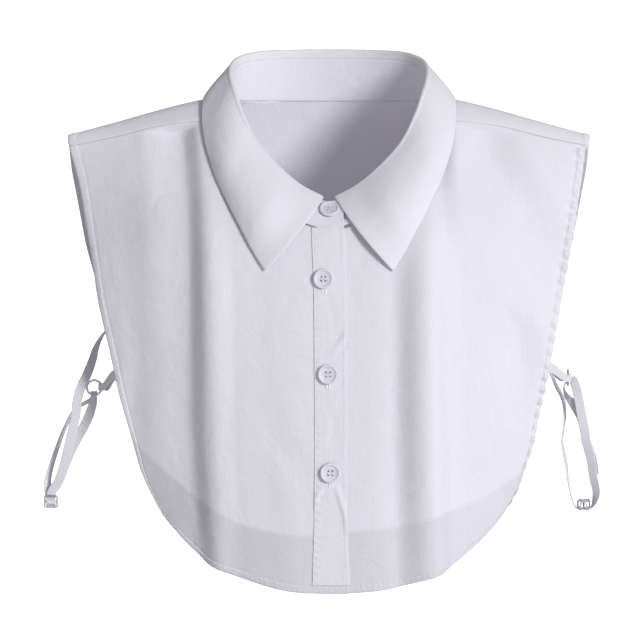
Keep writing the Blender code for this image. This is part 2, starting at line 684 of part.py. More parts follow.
def build_placket():
    columns, rows = 4, 25
    band = np.zeros((columns, rows, 3))
    for row in range(rows):
        way = PLACKET_TOP_WAY + (PLACKET_LOW_WAY - PLACKET_TOP_WAY) * row / (rows - 1)
        height = cloth_point(0.0, -way)[2]
        left_edge = read_table([(line[0], line[1]) for line in PLACKET[::-1]], height)
        right_edge = read_table([(line[0], line[2]) for line in PLACKET[::-1]], height)
        for column in range(columns):
            out = left_edge + (right_edge - left_edge) * column / (columns - 1)
            band[column, row] = cloth_point(out, -way) + cloth_normal(out, -way) * (CLOTH + BAND_GAP)
    cloth_solid("placket_band", band[:, ::-1], CLOTH, poplin)


build_placket()


# Buttons: a turned disc with a raised rim and four holes.

def build_button(name, centre, normal):
    profile = [
        (0.0, -0.5), (0.72, -0.5), (0.93, -0.32), (1.0, 0.0), (0.97, 0.34), (0.88, 0.5),
        (0.78, 0.42), (0.7, 0.16), (0.0, 0.12),
    ]
    segments = 20
    points = [(0.0, 0.0, profile[0][1] * BUTTON_THICK)]
    for radius, height in profile[1:-1]:
        for segment in range(segments):
            angle = 2 * math.pi * segment / segments
            x = radius * BUTTON_RADIUS * math.cos(angle)
            y = radius * BUTTON_RADIUS * math.sin(angle)
            points.append((x, y, height * BUTTON_THICK))
    points.append((0.0, 0.0, profile[-1][1] * BUTTON_THICK))
    last = len(points) - 1
    faces = []
    for segment in range(segments):
        following = (segment + 1) % segments
        faces.append((0, 1 + following, 1 + segment))
        for ring in range(len(profile) - 3):
            a = 1 + ring * segments
            b = a + segments
            faces.append((a + segment, a + following, b + following, b + segment))
        top = 1 + (len(profile) - 3) * segments
        faces.append((top + segment, top + following, last))
    button = add_mesh(name, points, faces, button_resin)
    for x_step in (-0.5, 0.5):
        for y_step in (-0.5, 0.5):
            bpy.ops.mesh.primitive_cylinder_add(
                vertices=6, radius=BUTTON_HOLE_RADIUS * MM, depth=BUTTON_THICK * 3 * MM,
                location=(x_step * BUTTON_HOLE_SPACING * MM, y_step * BUTTON_HOLE_SPACING * MM, 0))
            drill = bpy.context.object
            drill.name = name + "_hole"
            move_to(drill, cutters)
            drill.display_type = "WIRE"
            cut = button.modifiers.new("hole", "BOOLEAN")
            cut.operation = "DIFFERENCE"
            cut.solver = "EXACT"
            cut.object = drill
    place_along(button, centre, normal)


def move_to(part, collection):
    for owner in list(part.users_collection):
        owner.objects.unlink(part)
    collection.objects.link(part)


def apply_modifiers(part):
    bpy.context.view_layer.update()
    graph = bpy.context.evaluated_depsgraph_get()
    mesh = bpy.data.meshes.new_from_object(part.evaluated_get(graph))
    part.modifiers.clear()
    part.data = mesh


def place_along(part, centre, normal):
    """Bakes a part drawn about +Z so that its axis follows the normal."""
    apply_modifiers(part)
    axis = np.array(normal) / np.linalg.norm(normal)
    across = np.cross([0.0, 0.0, 1.0], axis)
    across /= np.linalg.norm(across)
    third = np.cross(axis, across)
    turn = np.stack([across, third, axis], axis=1)
    for vertex in part.data.vertices:
        spot = turn @ np.array(vertex.co) + np.array(centre) * MM
        vertex.co = tuple(spot)


for name, out, height in BUTTONS:
    way = way_at(out, height, -1)
    normal = cloth_normal(out, way)
    lift = CLOTH * 1.5 + BAND_GAP + BUTTON_GAP + BUTTON_THICK / 2
    build_button(name, cloth_point(out, way) + normal * lift, normal)

# The collar button sits on the outer end of the stand, over the centre front.
stand_xs = [column[2][0] for column in stand_middle[:5]]
first = max(index for index in range(4) if stand_xs[index] > COLLAR_BUTTON_X)
share = (stand_xs[first] - COLLAR_BUTTON_X) / (stand_xs[first] - stand_xs[first + 1])
stand_line = stand_middle[first] * (1 - share) + stand_middle[first + 1] * share
button_spot = stand_line[2] * 0.6 + stand_line[3] * 0.4
stand_face = np.cross(stand_line[3] - stand_line[2], stand_middle[first + 1, 2] - stand_middle[first, 2])
stand_face /= np.linalg.norm(stand_face)
stand_face *= -1.0 if stand_face[1] > 0 else 1.0
collar_button_lift = STAND_THICK / 2 + SEAM_GAP + BUTTON_THICK / 2
build_button("button_collar", button_spot + stand_face * collar_button_lift, stand_face)


# Straps, tabs, rings and sliders.

def build_strap(name, rows):
    track = read_curve(rows, row_shares(rows, 2))
    turns = np.radians(track[:, 3])
    flat = np.stack([np.cos(turns), np.sin(turns), np.zeros(len(turns))], axis=1)
    return flat_strip(name, track[:, :3], flat, track[:, 4:5], ELASTIC_THICK, elastic)


def build_tab(name, anchor, wire):
    """Folded tab: out from the cloth's edge, round the ring's wire and back beside itself."""
    anchor = np.array(anchor)
    wire = np.array(wire)
    along = (wire - anchor) * np.array([1.0, 1.0, 0.0])
    along /= np.linalg.norm(along)
    aside = np.array([-along[1], along[0], 0.0])
    reach = RING_WIRE + TAB_EASE + TAB_THICK / 2
    rows = []
    flat = TAB_THICK / 2 + SEAM_GAP
    for part in (0.0, 0.3, 0.6, 0.82, 0.94):
        spread = flat + (reach - flat) * soft_step(part)
        drop = soft_step(part / 0.9)
        spot = anchor + (wire - anchor) * np.array([part, part, drop])
        rows.append((spot, spread, part))
    track = [spot + aside * spread for spot, spread, _ in rows]
    for angle in (60, 0, -60):
        bend = math.radians(angle)
        track.append(wire + along * reach * math.cos(bend) + aside * reach * math.sin(bend))
    track += [spot - aside * spread for spot, spread, _ in rows[::-1]]
    widths = [ELASTIC_WIDTH + (GATHERED_WIDTH - ELASTIC_WIDTH) * soft_step(part) for _, _, part in rows]
    widths = widths + [GATHERED_WIDTH] * 3 + widths[::-1]
    table = [tuple(spot) + (width,) for spot, width in zip(track, widths)]
    track = read_curve(table, row_shares(table, 2))
    upright = np.tile([0.0, 0.0, 1.0], (len(track), 1))
    return flat_strip(name, track[:, :3], upright, track[:, 3:4], TAB_THICK, elastic)


build_strap("strap_right", STRAP_RIGHT)
build_strap("strap_left", STRAP_LEFT)
for name, anchor, wire in TABS:
    build_tab(name, anchor, wire)

for name, centre, turn in RINGS:
    bpy.ops.mesh.primitive_torus_add(
        major_segments=20, minor_segments=6, major_radius=RING_MAJOR * MM, minor_radius=RING_WIRE * MM,
        location=[value * MM for value in centre], rotation=[math.radians(value) for value in turn])
    ring = bpy.context.object
    ring.name = name
    ring.data.materials.append(clear_plastic)
    move_to(ring, collar_parts)

for name, centre, turn in SLIDERS:
    location = [value * MM for value in centre]
    rotation = [math.radians(value) for value in turn]
    bpy.ops.mesh.primitive_cube_add(size=1.0, location=location, rotation=rotation)
    slider = bpy.context.object
    slider.name = name
    slider.scale = [value * MM for value in SLIDER_SIZE]
    bpy.ops.object.transform_apply(location=False, rotation=False, scale=True)
    slider.data.materials.append(clear_plastic)
    move_to(slider, collar_parts)
    bevel = slider.modifiers.new("soft_edges", "BEVEL")
    bevel.width = 0.5 * MM
    bevel.segments = 2
    for offset in (-SLIDER_SLOT_OFFSET, SLIDER_SLOT_OFFSET):
        bpy.ops.mesh.primitive_cube_add(size=1.0, location=location, rotation=rotation)
        slot = bpy.context.object
        slot.name = name + "_slot"
        slot.scale = (SLIDER_SLOT[0] * MM, SLIDER_SLOT[1] * MM, SLIDER_SIZE[2] * 3 * MM)
        shift = slot.matrix_world.to_3x3().normalized().col[1] * offset * MM
        slot.location = [value + step for value, step in zip(slot.location, shift)]
        slot.display_type = "WIRE"
        move_to(slot, cutters)
        cut = slider.modifiers.new("slot", "BOOLEAN")
        cut.operation = "DIFFERENCE"
        cut.solver = "EXACT"
        cut.object = slot
    apply_modifiers(slider)
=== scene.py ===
"""Detachable shirt collar in white cotton poplin: two buttoned fronts, a short back, a stand
with a folded leaf, and elastic side straps. It keeps the round form of a worn collar.
"""

import math

import bpy
import numpy as np
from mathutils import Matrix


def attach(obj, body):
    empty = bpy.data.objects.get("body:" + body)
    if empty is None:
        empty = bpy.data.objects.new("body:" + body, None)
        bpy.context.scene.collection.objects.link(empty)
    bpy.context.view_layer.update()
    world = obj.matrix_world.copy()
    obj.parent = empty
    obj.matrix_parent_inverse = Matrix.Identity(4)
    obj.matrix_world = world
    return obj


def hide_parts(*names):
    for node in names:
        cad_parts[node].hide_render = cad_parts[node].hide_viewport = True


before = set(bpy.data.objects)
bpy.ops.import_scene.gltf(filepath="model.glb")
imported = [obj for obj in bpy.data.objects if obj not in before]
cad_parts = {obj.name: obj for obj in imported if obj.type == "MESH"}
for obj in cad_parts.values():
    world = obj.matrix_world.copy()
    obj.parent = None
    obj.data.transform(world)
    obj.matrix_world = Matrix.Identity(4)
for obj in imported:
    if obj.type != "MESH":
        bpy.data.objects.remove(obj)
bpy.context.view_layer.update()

# The back.
# A short yoke of white poplin in one piece. It goes over the shoulders to seams on the front,
# its neckline is caught in the collar's stand, and its free edges have a narrow rolled hem.

# All sizes are millimetres; MM turns them to metres where a mesh or a pattern is made.
MM = 0.001
# The ridge over the shoulder: distance out from the centre, height.
RIDGE = [
    (0, 12.0), (58, 11.2), (70, 11.4), (80, 12.0), (92, 9.8),
    (113, 4.4), (139, -3.0), (162, -9.2), (172, -11.8),
]
RIDGE_RADIUS = 14.0
# How far the cloth stands from the ridge's plane, by its way down from the ridge.
BACK_FULLNESS = [
    (0, 0), (12, 11), (24, 21), (40, 32), (60, 43.5), (80, 50), (110, 55.5),
    (150, 59), (200, 60), (250, 57), (300, 52),
]
NAPE_RISE = 50.0
NAPE_REACH = 100.0
# Depth left at the free edge as a share of the centre's, and how late the cloth turns to it.
EDGE_DEPTH = 0.38
ROUNDNESS = 2.4
# In front the cloth keeps flatter: the same share by height, and the turn by share of the width.
FRONT_EDGE_DEPTH = [
    (-300, 0.54), (-240, 0.52), (-160, 0.47), (-100, 0.45), (-30, 0.38), (20, 0.38),
]
FRONT_TURN = [
    (0, 0), (0.2, 0.015), (0.35, 0.09), (0.5, 0.23), (0.7, 0.5), (1.0, 1.0), (1.06, 1.1),
]
# Half the worn width: height, distance out.
HALF_WIDTH = [
    (-300, 118), (-240, 119), (-212, 127), (-181, 135), (-149, 143), (-118, 150),
    (-71, 158.5), (-30, 166), (-17, 169), (20, 169),
]
# Standing folds: x at the top and at the hem, width on both sides, height, top and low z.
BACK_FOLDS = [
    (-62, -58, 24, 24, 2.4, -30, -270),
    (60, 64, 24, 24, 2.6, -30, -270),
    (6, 0, 26, 20, 1.5, -60, -270),
]
# Cut edges at the neck and shoulder: distance out, way down from the ridge, minus in front.
BACK_NECK = [
    (0, 65.5), (28, 55.3), (50, 38.8), (64, 16), (70, 4), (70.8, -10), (70, -21.7),
]
BACK_SHOULDER = [(70, -21.7), (80, -22.2), (113, -18.2), (140, -17.2), (168.6, -15.2)]
# The armhole is given as height, distance out, and the hem as distance out, height.
BACK_ARMHOLE = [
    (-222, 122), (-205, 127.5), (-178, 135), (-147, 142), (-120, 149), (-100, 154),
    (-85, 158), (-72, 160.5), (-61, 162.5), (-50, 164.5), (-33, 167.5), (-8, 169.5),
    (20, 169.5),
]
BACK_HEM = [
    (0, -275), (15, -274.5), (50, -268), (85, -253), (104, -241), (116, -231), (122, -222),
]
# Soft troughs and ridges pressed into the back: width on each side, then x, z and height.
BACK_CREASES = [
    (16, 22, [(-104, -30, 0.0), (-98, -90, 1.6), (-92, -180, 1.4), (-88, -250, 0.5)]),
    (22, 15, [(106, -20, 0.0), (100, -80, 1.5), (94, -170, 1.7), (92, -240, 0.6)]),
    (12, 12, [(-30, -60, 0.0), (-33, -130, -0.8), (-28, -220, -0.9), (-26, -270, -0.4)]),
    (12, 14, [(34, -50, 0.0), (31, -120, -0.9), (35, -210, -1.0), (36, -266, -0.5)]),
]
# A hem: grid axis, whether at its far end, spacing of its ropes, their slant and strength.
BACK_HEMS = [(0, False, 6.4, 0.8, 0.2), (0, True, 6.4, -0.8, 0.2), (1, True, 4.6, 0.2, 0.16)]
BACK_COLUMNS = 120
BACK_ROWS = 190
CLOTH = 0.5
HEM_WIDTH = 5.0
HEM_STITCH = 4.3
THREAD_LIFT = 0.08


def ease(value):
    """Soft step from 0 to 1."""
    value = np.clip(value, 0.0, 1.0)
    return value * value * (3.0 - 2.0 * value)


def through(rows, at):
    """Smooth line through the rows of a two-column table, read at any places."""
    keys, values = np.array(rows, float)[:, :2].T
    at = np.clip(at, keys[0], keys[-1])
    low = np.clip(np.searchsorted(keys, at, side="right") - 1, 0, len(keys) - 2)
    slopes = np.diff(values) / np.diff(keys)
    middle = (values[2:] - values[:-2]) / (keys[2:] - keys[:-2])
    slopes = np.concatenate([slopes[:1], middle, slopes[-1:]])
    span = keys[low + 1] - keys[low]
    part = (at - keys[low]) / span
    square = part * part
    cube = square * part
    start = (2 * cube - 3 * square + 1) * values[low]
    start = start + (cube - 2 * square + part) * slopes[low] * span
    end = (3 * square - 2 * cube) * values[low + 1] + (cube - square) * slopes[low + 1] * span
    return start + end


def along(rows, shares):
    """Points of a smooth line through the rows, at shares of its length."""
    points = np.array(rows, float)
    chords = np.linalg.norm(np.diff(points[:, :3], axis=0), axis=1)
    keys = np.concatenate([[0.0], np.cumsum(chords)]) / chords.sum()
    return np.stack([
        through(np.stack([keys, column], axis=1), shares) for column in points.T], axis=-1)


def standing_folds(folds, out, height):
    """How far long hanging folds stand out from the cloth."""
    total = np.zeros(np.broadcast(out, height).shape)
    for top_x, low_x, left_width, right_width, crest, top_z, low_z in folds:
        share = (height - top_z) / (low_z - top_z)
        crest_x = top_x + (low_x - top_x) * np.clip(share, 0.0, 1.0)
        width = np.where(out < crest_x, left_width, right_width)
        fade = ease(share / 0.25) * (1.0 - 0.35 * ease((share - 0.7) / 0.3))
        total = total + crest * ease(1.0 - np.abs(out - crest_x) / width) * fade
    return total


def worn(out, way, fullness, folds=()):
    """Point of the worn cloth: out from the centre, way down from the ridge, minus in front."""
    out, way = np.broadcast_arrays(np.asarray(out, float), np.asarray(way, float))
    reach = np.abs(out)
    rise = NAPE_RISE * (1.0 - ease(reach / NAPE_REACH)) * ease(way / 40.0)
    height = through(RIDGE, reach) + rise - (np.hypot(way, RIDGE_RADIUS) - RIDGE_RADIUS)
    share = np.minimum(reach / through(HALF_WIDTH, height), 1.06)
    in_front = np.where(way < 0, ease((-25.0 - height) / 70.0), 0.0)
    edge = np.where(way < 0, through(FRONT_EDGE_DEPTH, height), EDGE_DEPTH)
    turned = share ** ROUNDNESS * (1.0 - in_front) + through(FRONT_TURN, share) * in_front
    depth = through(fullness, np.abs(way)) * (1.0 - (1.0 - edge) * turned)
    depth = depth + standing_folds(folds, out, height)
    return np.stack([out, np.sign(way) * depth, height], axis=-1)


def way_down(out, height, side, fullness):
    """Way down the front (side -1) or the back (side 1) at which the cloth has a height."""
    out, height = np.broadcast_arrays(np.asarray(out, float), np.asarray(height, float))
    low = np.zeros(out.shape)
    high = np.full(out.shape, 345.0)
    for _ in range(40):
        middle = (low + high) / 2.0
        above = worn(out, side * middle, fullness)[..., 2] > height
        low = np.where(above, middle, low)
        high = np.where(above, high, middle)
    return side * low


def between_edges(top, low, left, right, across, down):
    """Grid between four edges of a cut piece, closer where its shares are closer."""

    def read(edge, shares):
        return np.stack(
            [np.interp(shares, np.linspace(0, 1, len(edge)), column) for column in edge.T], axis=-1)

    top, low = read(top, across)[:, None, :], read(low, across)[:, None, :]
    left, right = read(left, down)[None, :, :], read(right, down)[None, :, :]
    u, v = across[:, None, None], down[None, :, None]
    ruled = (1 - v) * top + v * low + (1 - u) * left + u * right
    corners = (1 - u) * ((1 - v) * top[:1] + v * low[:1]) + u * ((1 - v) * top[-1:] + v * low[-1:])
    return ruled - corners


def hem_shares(count, length, fine=14, fine_step=0.8):
    """Shares that run evenly and then closer together over the rolled hem at the end."""
    hem = 1.0 - np.arange(fine)[::-1] * fine_step / length
    return np.concatenate([np.linspace(0.0, hem[0], count - fine, endpoint=False), hem])


def grid_normals(middle):
    """Normals of a grid of points."""
    normals = np.cross(np.gradient(middle, axis=0), np.gradient(middle, axis=1))
    return normals / np.maximum(np.linalg.norm(normals, axis=2, keepdims=True), 1e-9)


def facing(middle, place, way):
    """Normals of a grid, turned so that at one place they point behind (1) or in front (-1)."""
    normals = grid_normals(middle)
    return normals * np.sign(way * normals[place][1])


def rim_of(grid):
    """The outermost values of a grid, once round."""
    return np.concatenate([grid[:, 0], grid[-1, 1:], grid[-2::-1, -1], grid[0, -2:0:-1]])


def pressed(creases, x, z):
    """Height of creases, each a line of x, z, height with a width on both sides."""
    total = np.zeros(np.broadcast(x, z).shape)
    for left_width, right_width, line in creases:
        line = np.array(line, float)
        line = along(line, np.linspace(0, 1, 4 * len(line)))
        nearest = np.full(total.shape, 1e9)
        height = np.zeros(total.shape)
        for start, end in zip(line[:-1], line[1:]):
            step = end[:2] - start[:2]
            share = ((x - start[0]) * step[0] + (z - start[1]) * step[1]) / (step @ step)
            share = np.clip(share, 0.0, 1.0)
            gap_x, gap_z = x - start[0] - share * step[0], z - start[1] - share * step[1]
            gap = np.hypot(gap_x, gap_z)
            turned = step[0] * gap_z - step[1] * gap_x
            to_left = turned * np.sign(-step[1] if abs(step[1]) > abs(step[0]) else step[0]) < 0
            width = np.where(to_left, left_width, right_width)
            here = start[2] + (end[2] - start[2]) * share
            here = here * np.clip(1.0 - gap / width, 0.0, 1.0) ** 2 * (1.0 + 2.0 * gap / width)
            height = np.where(gap < nearest, here, height)
            nearest = np.minimum(gap, nearest)
        total = total + height
    return total


def distance_in(middle, axis, from_end):
    """Way along the columns or rows of a grid, measured from one of its edges."""
    steps = np.linalg.norm(np.diff(middle, axis=axis), axis=2)
    pad = [(0, 0), (0, 0)]
    pad[axis] = (1, 0)
    way = np.cumsum(np.pad(steps, pad), axis=axis)
    if from_end:
        way = np.take(way, [-1], axis=axis) - way
    return way


def rolled_hem(middle, edges, seed):
    """Relief of a narrow rolled hem: its flat roll, its stitched groove and its ropes."""
    waves = np.random.default_rng(seed).uniform(0, 2 * math.pi, 6)
    relief = np.zeros(middle.shape[:2])
    for axis, from_end, spacing, slant, strength in edges:
        gap = distance_in(middle, axis, from_end)
        place = distance_in(middle, 1 - axis, False)
        roll = 0.32 * ease(gap / 1.0) * ease((HEM_WIDTH - gap) / 0.8)
        groove = -0.26 * np.exp(-(((gap - HEM_WIDTH) / 0.8) ** 2))
        reach = np.where(gap < 3.0, 2.2 + 0.18 * spacing, 1.6 + 0.14 * spacing)
        near = np.exp(-(((gap - 3.0) / reach) ** 2))
        drift = 0.9 * np.sin(place / 17.0 + waves[0]) + 0.7 * np.sin(place / 41.0 + waves[1])
        rope = np.sin(2 * math.pi * (place + slant * gap) / spacing + drift)
        rope = np.sign(rope) * np.abs(rope) ** 0.7
        uneven = 0.62 + 0.38 * np.sin(place / 23.0 + waves[3]) * np.sin(place / 9.0 + waves[4])
        relief = relief + roll + groove + strength * uneven * near * rope
    return relief


def line_in_from(middle, outward, edge, gap, lift):
    """Line of points along one edge of a grid, a gap in from it and a little above it."""
    axis, from_end = edge[:2]
    ways = np.moveaxis(distance_in(middle, axis, from_end), axis, 0)
    spots = np.moveaxis(middle + outward * lift, axis, 0)
    if from_end:
        ways, spots = ways[::-1], spots[::-1]
    return np.array([
        [np.interp(gap, ways[:, step], spots[:, step, part]) for part in range(3)]
        for step in range(spots.shape[1])])


def add_object(name, points, faces, made_of):
    """Smooth mesh of points in millimetres, as an object in the scene."""
    mesh = bpy.data.meshes.new(name)
    mesh.from_pydata((np.asarray(points) * MM).tolist(), [], faces)
    mesh.shade_smooth()
    mesh.materials.append(made_of)
    made = bpy.data.objects.new(name, mesh)
    bpy.context.scene.collection.objects.link(made)
    return made


def cloth_shell(name, middle, thickness, made_of):
    """Thin closed sheet on a grid of points, with rounded edges and its place on the cut."""
    index = np.arange(middle.shape[0] * middle.shape[1]).reshape(middle.shape[:2])
    total = index.size
    half = thickness / 2.0
    normals = grid_normals(middle)
    outer = (middle + normals * half).reshape(-1, 3)
    inner = (middle - normals * half).reshape(-1, 3)
    a, b = index[:-1, :-1].ravel(), index[1:, :-1].ravel()
    c, d = index[1:, 1:].ravel(), index[:-1, 1:].ravel()
    quads = [np.stack([a, b, c, d], 1), np.stack([a, d, c, b], 1) + total]
    rim = rim_of(index)
    around = np.concatenate([
        middle[:, 0] - middle[:, 1], middle[-1, 1:] - middle[-2, 1:],
        middle[-2::-1, -1] - middle[-2::-1, -2], middle[0, -2:0:-1] - middle[1, -2:0:-1]])
    around /= np.linalg.norm(around, axis=1, keepdims=True)
    tips = middle.reshape(-1, 3)[rim] + around * half
    edge = np.arange(len(rim)) + 2 * total
    following = np.roll(np.arange(len(rim)), -1)
    quads.append(np.stack([rim[following], rim, edge, edge[following]], 1))
    quads.append(np.stack([edge[following], edge, rim + total, rim[following] + total], 1))
    piece = add_object(
        name, np.vstack([outer, inner, tips]), np.concatenate(quads).tolist(), made_of)
    flat = [distance_in(middle, 0, False), distance_in(middle, 1, False), np.zeros(index.shape)]
    flat = np.stack(flat, axis=-1).reshape(-1, 3)
    place = piece.data.attributes.new("cut_place", "FLOAT_VECTOR", "POINT")
    place.data.foreach_set("vector", (np.vstack([flat, flat, flat[rim]]) * MM).ravel())
    return piece


def linear(sixteen):
    """Linear colour of an sRGB hex value."""
    values = [int(sixteen[place:place + 2], 16) / 255 for place in (1, 3, 5)]
    return [v / 12.92 if v <= 0.04045 else ((v + 0.055) / 1.055) ** 2.4 for v in values] + [1.0]


def add_node(tree, kind, settings=None, sockets=None):
    """A node with its settings; a socket takes a value, or a link from another node's output."""
    made = tree.nodes.new(kind)
    for name, value in (settings or {}).items():
        setattr(made, name, value)
    for name, value in (sockets or {}).items():
        if isinstance(value, bpy.types.NodeSocket):
            tree.links.new(value, made.inputs[name])
        else:
            made.inputs[name].default_value = value
    return made


def poplin(name, thread_light, thread_dark, bump):
    """White cotton poplin: fine plain weave, matt, a little brighter where it turns away."""
    made = bpy.data.materials.new(name)
    made.use_nodes = True
    tree = made.node_tree
    shader = tree.nodes["Principled BSDF"]
    cut = add_node(tree, "ShaderNodeAttribute", {"attribute_name": "cut_place"})
    # Warp threads of 0.15 mm are too fine to show, so their slubs are drawn 0.9 mm apart.
    warp_scale = add_node(tree, "ShaderNodeVectorMath", {"operation": "MULTIPLY"}, {
        0: cut.outputs["Vector"], 1: (1 / (0.9 * MM), 1 / (26 * MM), 1.0)})
    warp = add_node(tree, "ShaderNodeTexNoise", {}, {
        "Vector": warp_scale.outputs[0], "Scale": 1.0, "Detail": 3.0, "Roughness": 0.6})
    weft_scale = add_node(tree, "ShaderNodeVectorMath", {"operation": "MULTIPLY"}, {
        0: cut.outputs["Vector"], 1: (1 / (14 * MM), 1 / (0.8 * MM), 1.0)})
    weft = add_node(tree, "ShaderNodeTexNoise", {}, {
        "Vector": weft_scale.outputs[0], "Scale": 1.0, "Detail": 2.0, "Roughness": 0.5})
    weave = add_node(tree, "ShaderNodeMix", {"data_type": "FLOAT"}, {
        0: 0.35, 2: warp.outputs[0], 3: weft.outputs[0]})
    colour = add_node(tree, "ShaderNodeMix", {"data_type": "RGBA"}, {
        0: weave.outputs[0], 6: linear(thread_dark), 7: linear(thread_light)})
    # Washed poplin is never quite flat: shallow dents 8 to 20 mm across catch the light.
    place = add_node(tree, "ShaderNodeTexCoord")
    dents = add_node(tree, "ShaderNodeTexNoise", {}, {
        "Vector": place.outputs["Object"], "Scale": 1 / (17 * MM), "Detail": 3.0, "Roughness": 0.55,
        "Distortion": 0.6})
    rumpled = add_node(tree, "ShaderNodeBump", {}, {
        "Strength": 0.55, "Distance": 1.5 * MM, "Height": dents.outputs[0]})
    raised = add_node(tree, "ShaderNodeBump", {}, {
        "Strength": bump, "Distance": 0.2 * MM, "Height": weave.outputs[0],
        "Normal": rumpled.outputs[0]})
    tree.links.new(colour.outputs[2], shader.inputs["Base Color"])
    tree.links.new(raised.outputs[0], shader.inputs["Normal"])
    shader.inputs["Roughness"].default_value = 0.82
    shader.inputs["Specular IOR Level"].default_value = 0.3
    shader.inputs["Sheen Weight"].default_value = 0.12
    shader.inputs["Sheen Roughness"].default_value = 0.5
    return made


def clouded(name, size, detail, dark, light):
    """Material that drifts between two shades in soft clouds; also its shader and its clouds."""
    made = bpy.data.materials.new(name)
    made.use_nodes = True
    tree = made.node_tree
    shader = tree.nodes["Principled BSDF"]
    place = add_node(tree, "ShaderNodeTexCoord")
    clouds = add_node(tree, "ShaderNodeTexNoise", {}, {
        "Vector": place.outputs["Object"], "Scale": 1 / (size * MM), "Detail": detail})
    colour = add_node(tree, "ShaderNodeMix", {"data_type": "RGBA"}, {
        0: clouds.outputs[0], 6: linear(dark), 7: linear(light)})
    tree.links.new(colour.outputs[2], shader.inputs["Base Color"])
    return made, shader, clouds


back_cloth = poplin("cotton_poplin_white_plain_woven_yoke", "#E8E6EF", "#D6D4DD", 0.6)

# Spun polyester thread: matt and a little whiter than the cloth, so a row shows as pale dots.
# Real twist repeats every 0.4 mm; it is drawn at 0.8 mm so that it shows at all.
thread, thread_shader, _ = clouded("polyester_thread_white_spun", 0.8, 1.0, "#E2E0E8", "#F1F0F5")
thread_shader.inputs["Roughness"].default_value = 0.75


def tube_faces(first, rings, around):
    """Faces of a tube with closed ends, whose points run ring after ring."""
    faces = [
        (a + step, a + (step + 1) % around, a + around + (step + 1) % around, a + around + step)
        for a in range(first, first + (rings - 1) * around, around) for step in range(around)]
    last = first + (rings - 1) * around
    return faces + [
        tuple(range(first + around - 1, first - 1, -1)), tuple(range(last, last + around))]


def sewn(name, lines, pitch=2.4, radius=0.19):
    """Rows of stitches: short rounded bars of thread with small gaps, along lines on the cloth."""
    points, faces = [], []
    for line in lines:
        way = np.concatenate([[0.0], np.cumsum(np.linalg.norm(np.diff(line, axis=0), axis=1))])
        for start in np.arange(0.4, way[-1] - pitch, pitch):
            at = start + pitch * np.array([0.0, 0.12, 0.66, 0.78])
            spots = np.stack([np.interp(at, way, column) for column in line.T], axis=1)
            heading = spots[-1] - spots[0]
            heading /= np.linalg.norm(heading)
            aside = np.cross(heading, [0.31, 0.2, 0.93])
            aside /= np.linalg.norm(aside)
            third = np.cross(heading, aside)
            faces += tube_faces(len(points), 4, 5)
            for spot, share in zip(spots, (0.35, 1.0, 1.0, 0.35)):
                for turn in np.arange(5) * 2 * math.pi / 5:
                    outward = math.cos(turn) * aside + math.sin(turn) * third
                    points.append(spot + radius * share * outward)
    piece = add_object(name, points, faces, thread)
    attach(piece, "root")
    return piece


# Half of the back is laid between its cut edges and mirrored.
neck_line = along(BACK_NECK, np.linspace(0, 1, 60))
shoulder_line = along(BACK_SHOULDER, np.linspace(0, 1, 49))
top_edge = np.vstack([neck_line, shoulder_line[1:]])
hem_line = along(BACK_HEM, np.linspace(0, 1, 108))
low_way = way_down(hem_line[:, 0], hem_line[:, 1], 1, BACK_FULLNESS)
low_edge = np.stack([hem_line[:, 0], low_way], 1)
tip_height = worn(BACK_ARMHOLE[-1][1], 14.0, BACK_FULLNESS)[2]
side_heights = np.linspace(tip_height, BACK_ARMHOLE[0][0], 90)
side_out = through(BACK_ARMHOLE, side_heights)
side_way = way_down(side_out, side_heights, 1, BACK_FULLNESS)
over_ridge = np.linspace(top_edge[-1], [BACK_ARMHOLE[-1][1], 13.0], 10)
over_ridge[:, 0] = BACK_ARMHOLE[-1][1]
side_edge = np.vstack([over_ridge, np.stack([side_out, side_way], 1)])
side_edge[0], side_edge[-1] = top_edge[-1], low_edge[-1]
centre_line = np.linspace(top_edge[0], low_edge[0], 90)
back_across = hem_shares(BACK_COLUMNS, 165.0, 12)
back_down = hem_shares(BACK_ROWS, 270.0)
back_cut = between_edges(top_edge, low_edge, centre_line, side_edge, back_across, back_down)
half_back = worn(back_cut[..., 0], back_cut[..., 1], BACK_FULLNESS, BACK_FOLDS)
other_half = worn(-back_cut[..., 0], back_cut[..., 1], BACK_FULLNESS, BACK_FOLDS)
back_middle = np.vstack([other_half[:0:-1], half_back])
back_relief = pressed(BACK_CREASES, back_middle[..., 0], back_middle[..., 2])
back_relief *= (back_middle[..., 1] > 0)
back_relief = back_relief + rolled_hem(back_middle, BACK_HEMS, 3)
back_middle = back_middle + grid_normals(back_middle) * back_relief[..., None]
back = cloth_shell("back_yoke", back_middle, CLOTH, back_cloth)
back_outward = facing(back_middle, (len(back_middle) // 2, BACK_ROWS // 2), 1)
back_stitches = sewn("stitches_back_hem", [
    line_in_from(back_middle, back_outward, edge, HEM_STITCH, side * 0.36)
    for edge in BACK_HEMS for side in (1.0, -1.0)])
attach(back, "root")
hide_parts("back_panel")


# The fronts.
# Two bib-shaped fronts of the same poplin. The wearer's right one laps over the left one at the
# centre; both are seamed to the back on the shoulder and rolled to a narrow hem all round.

FRONT_FULLNESS = [
    (0, 0), (12, 11), (24, 21), (40, 34), (60, 48), (80, 61), (95, 69), (110, 73.5),
    (130, 77), (160, 79.5), (195, 80), (240, 78), (290, 74.5), (335, 71),
]
FRONT_FOLDS = [
    (-76, -68, 17, 34, 3.05, -20, -300),
    (66, 68, 24, 22, 4.75, -45, -300),
    (-118, -100, 22, 26, 1.4, -20, -240),
    (112, 104, 30, 22, 1.6, -30, -260),
]
FRONT_NECK = [
    (9, 91.2), (28, 82.5), (44, 68.5), (56, 53.5), (64.5, 37), (69.6, 23),
]
FRONT_SHOULDER = [(69.6, 23), (80, 22.8), (113, 18.8), (140, 17.8), (168.6, 15.8)]
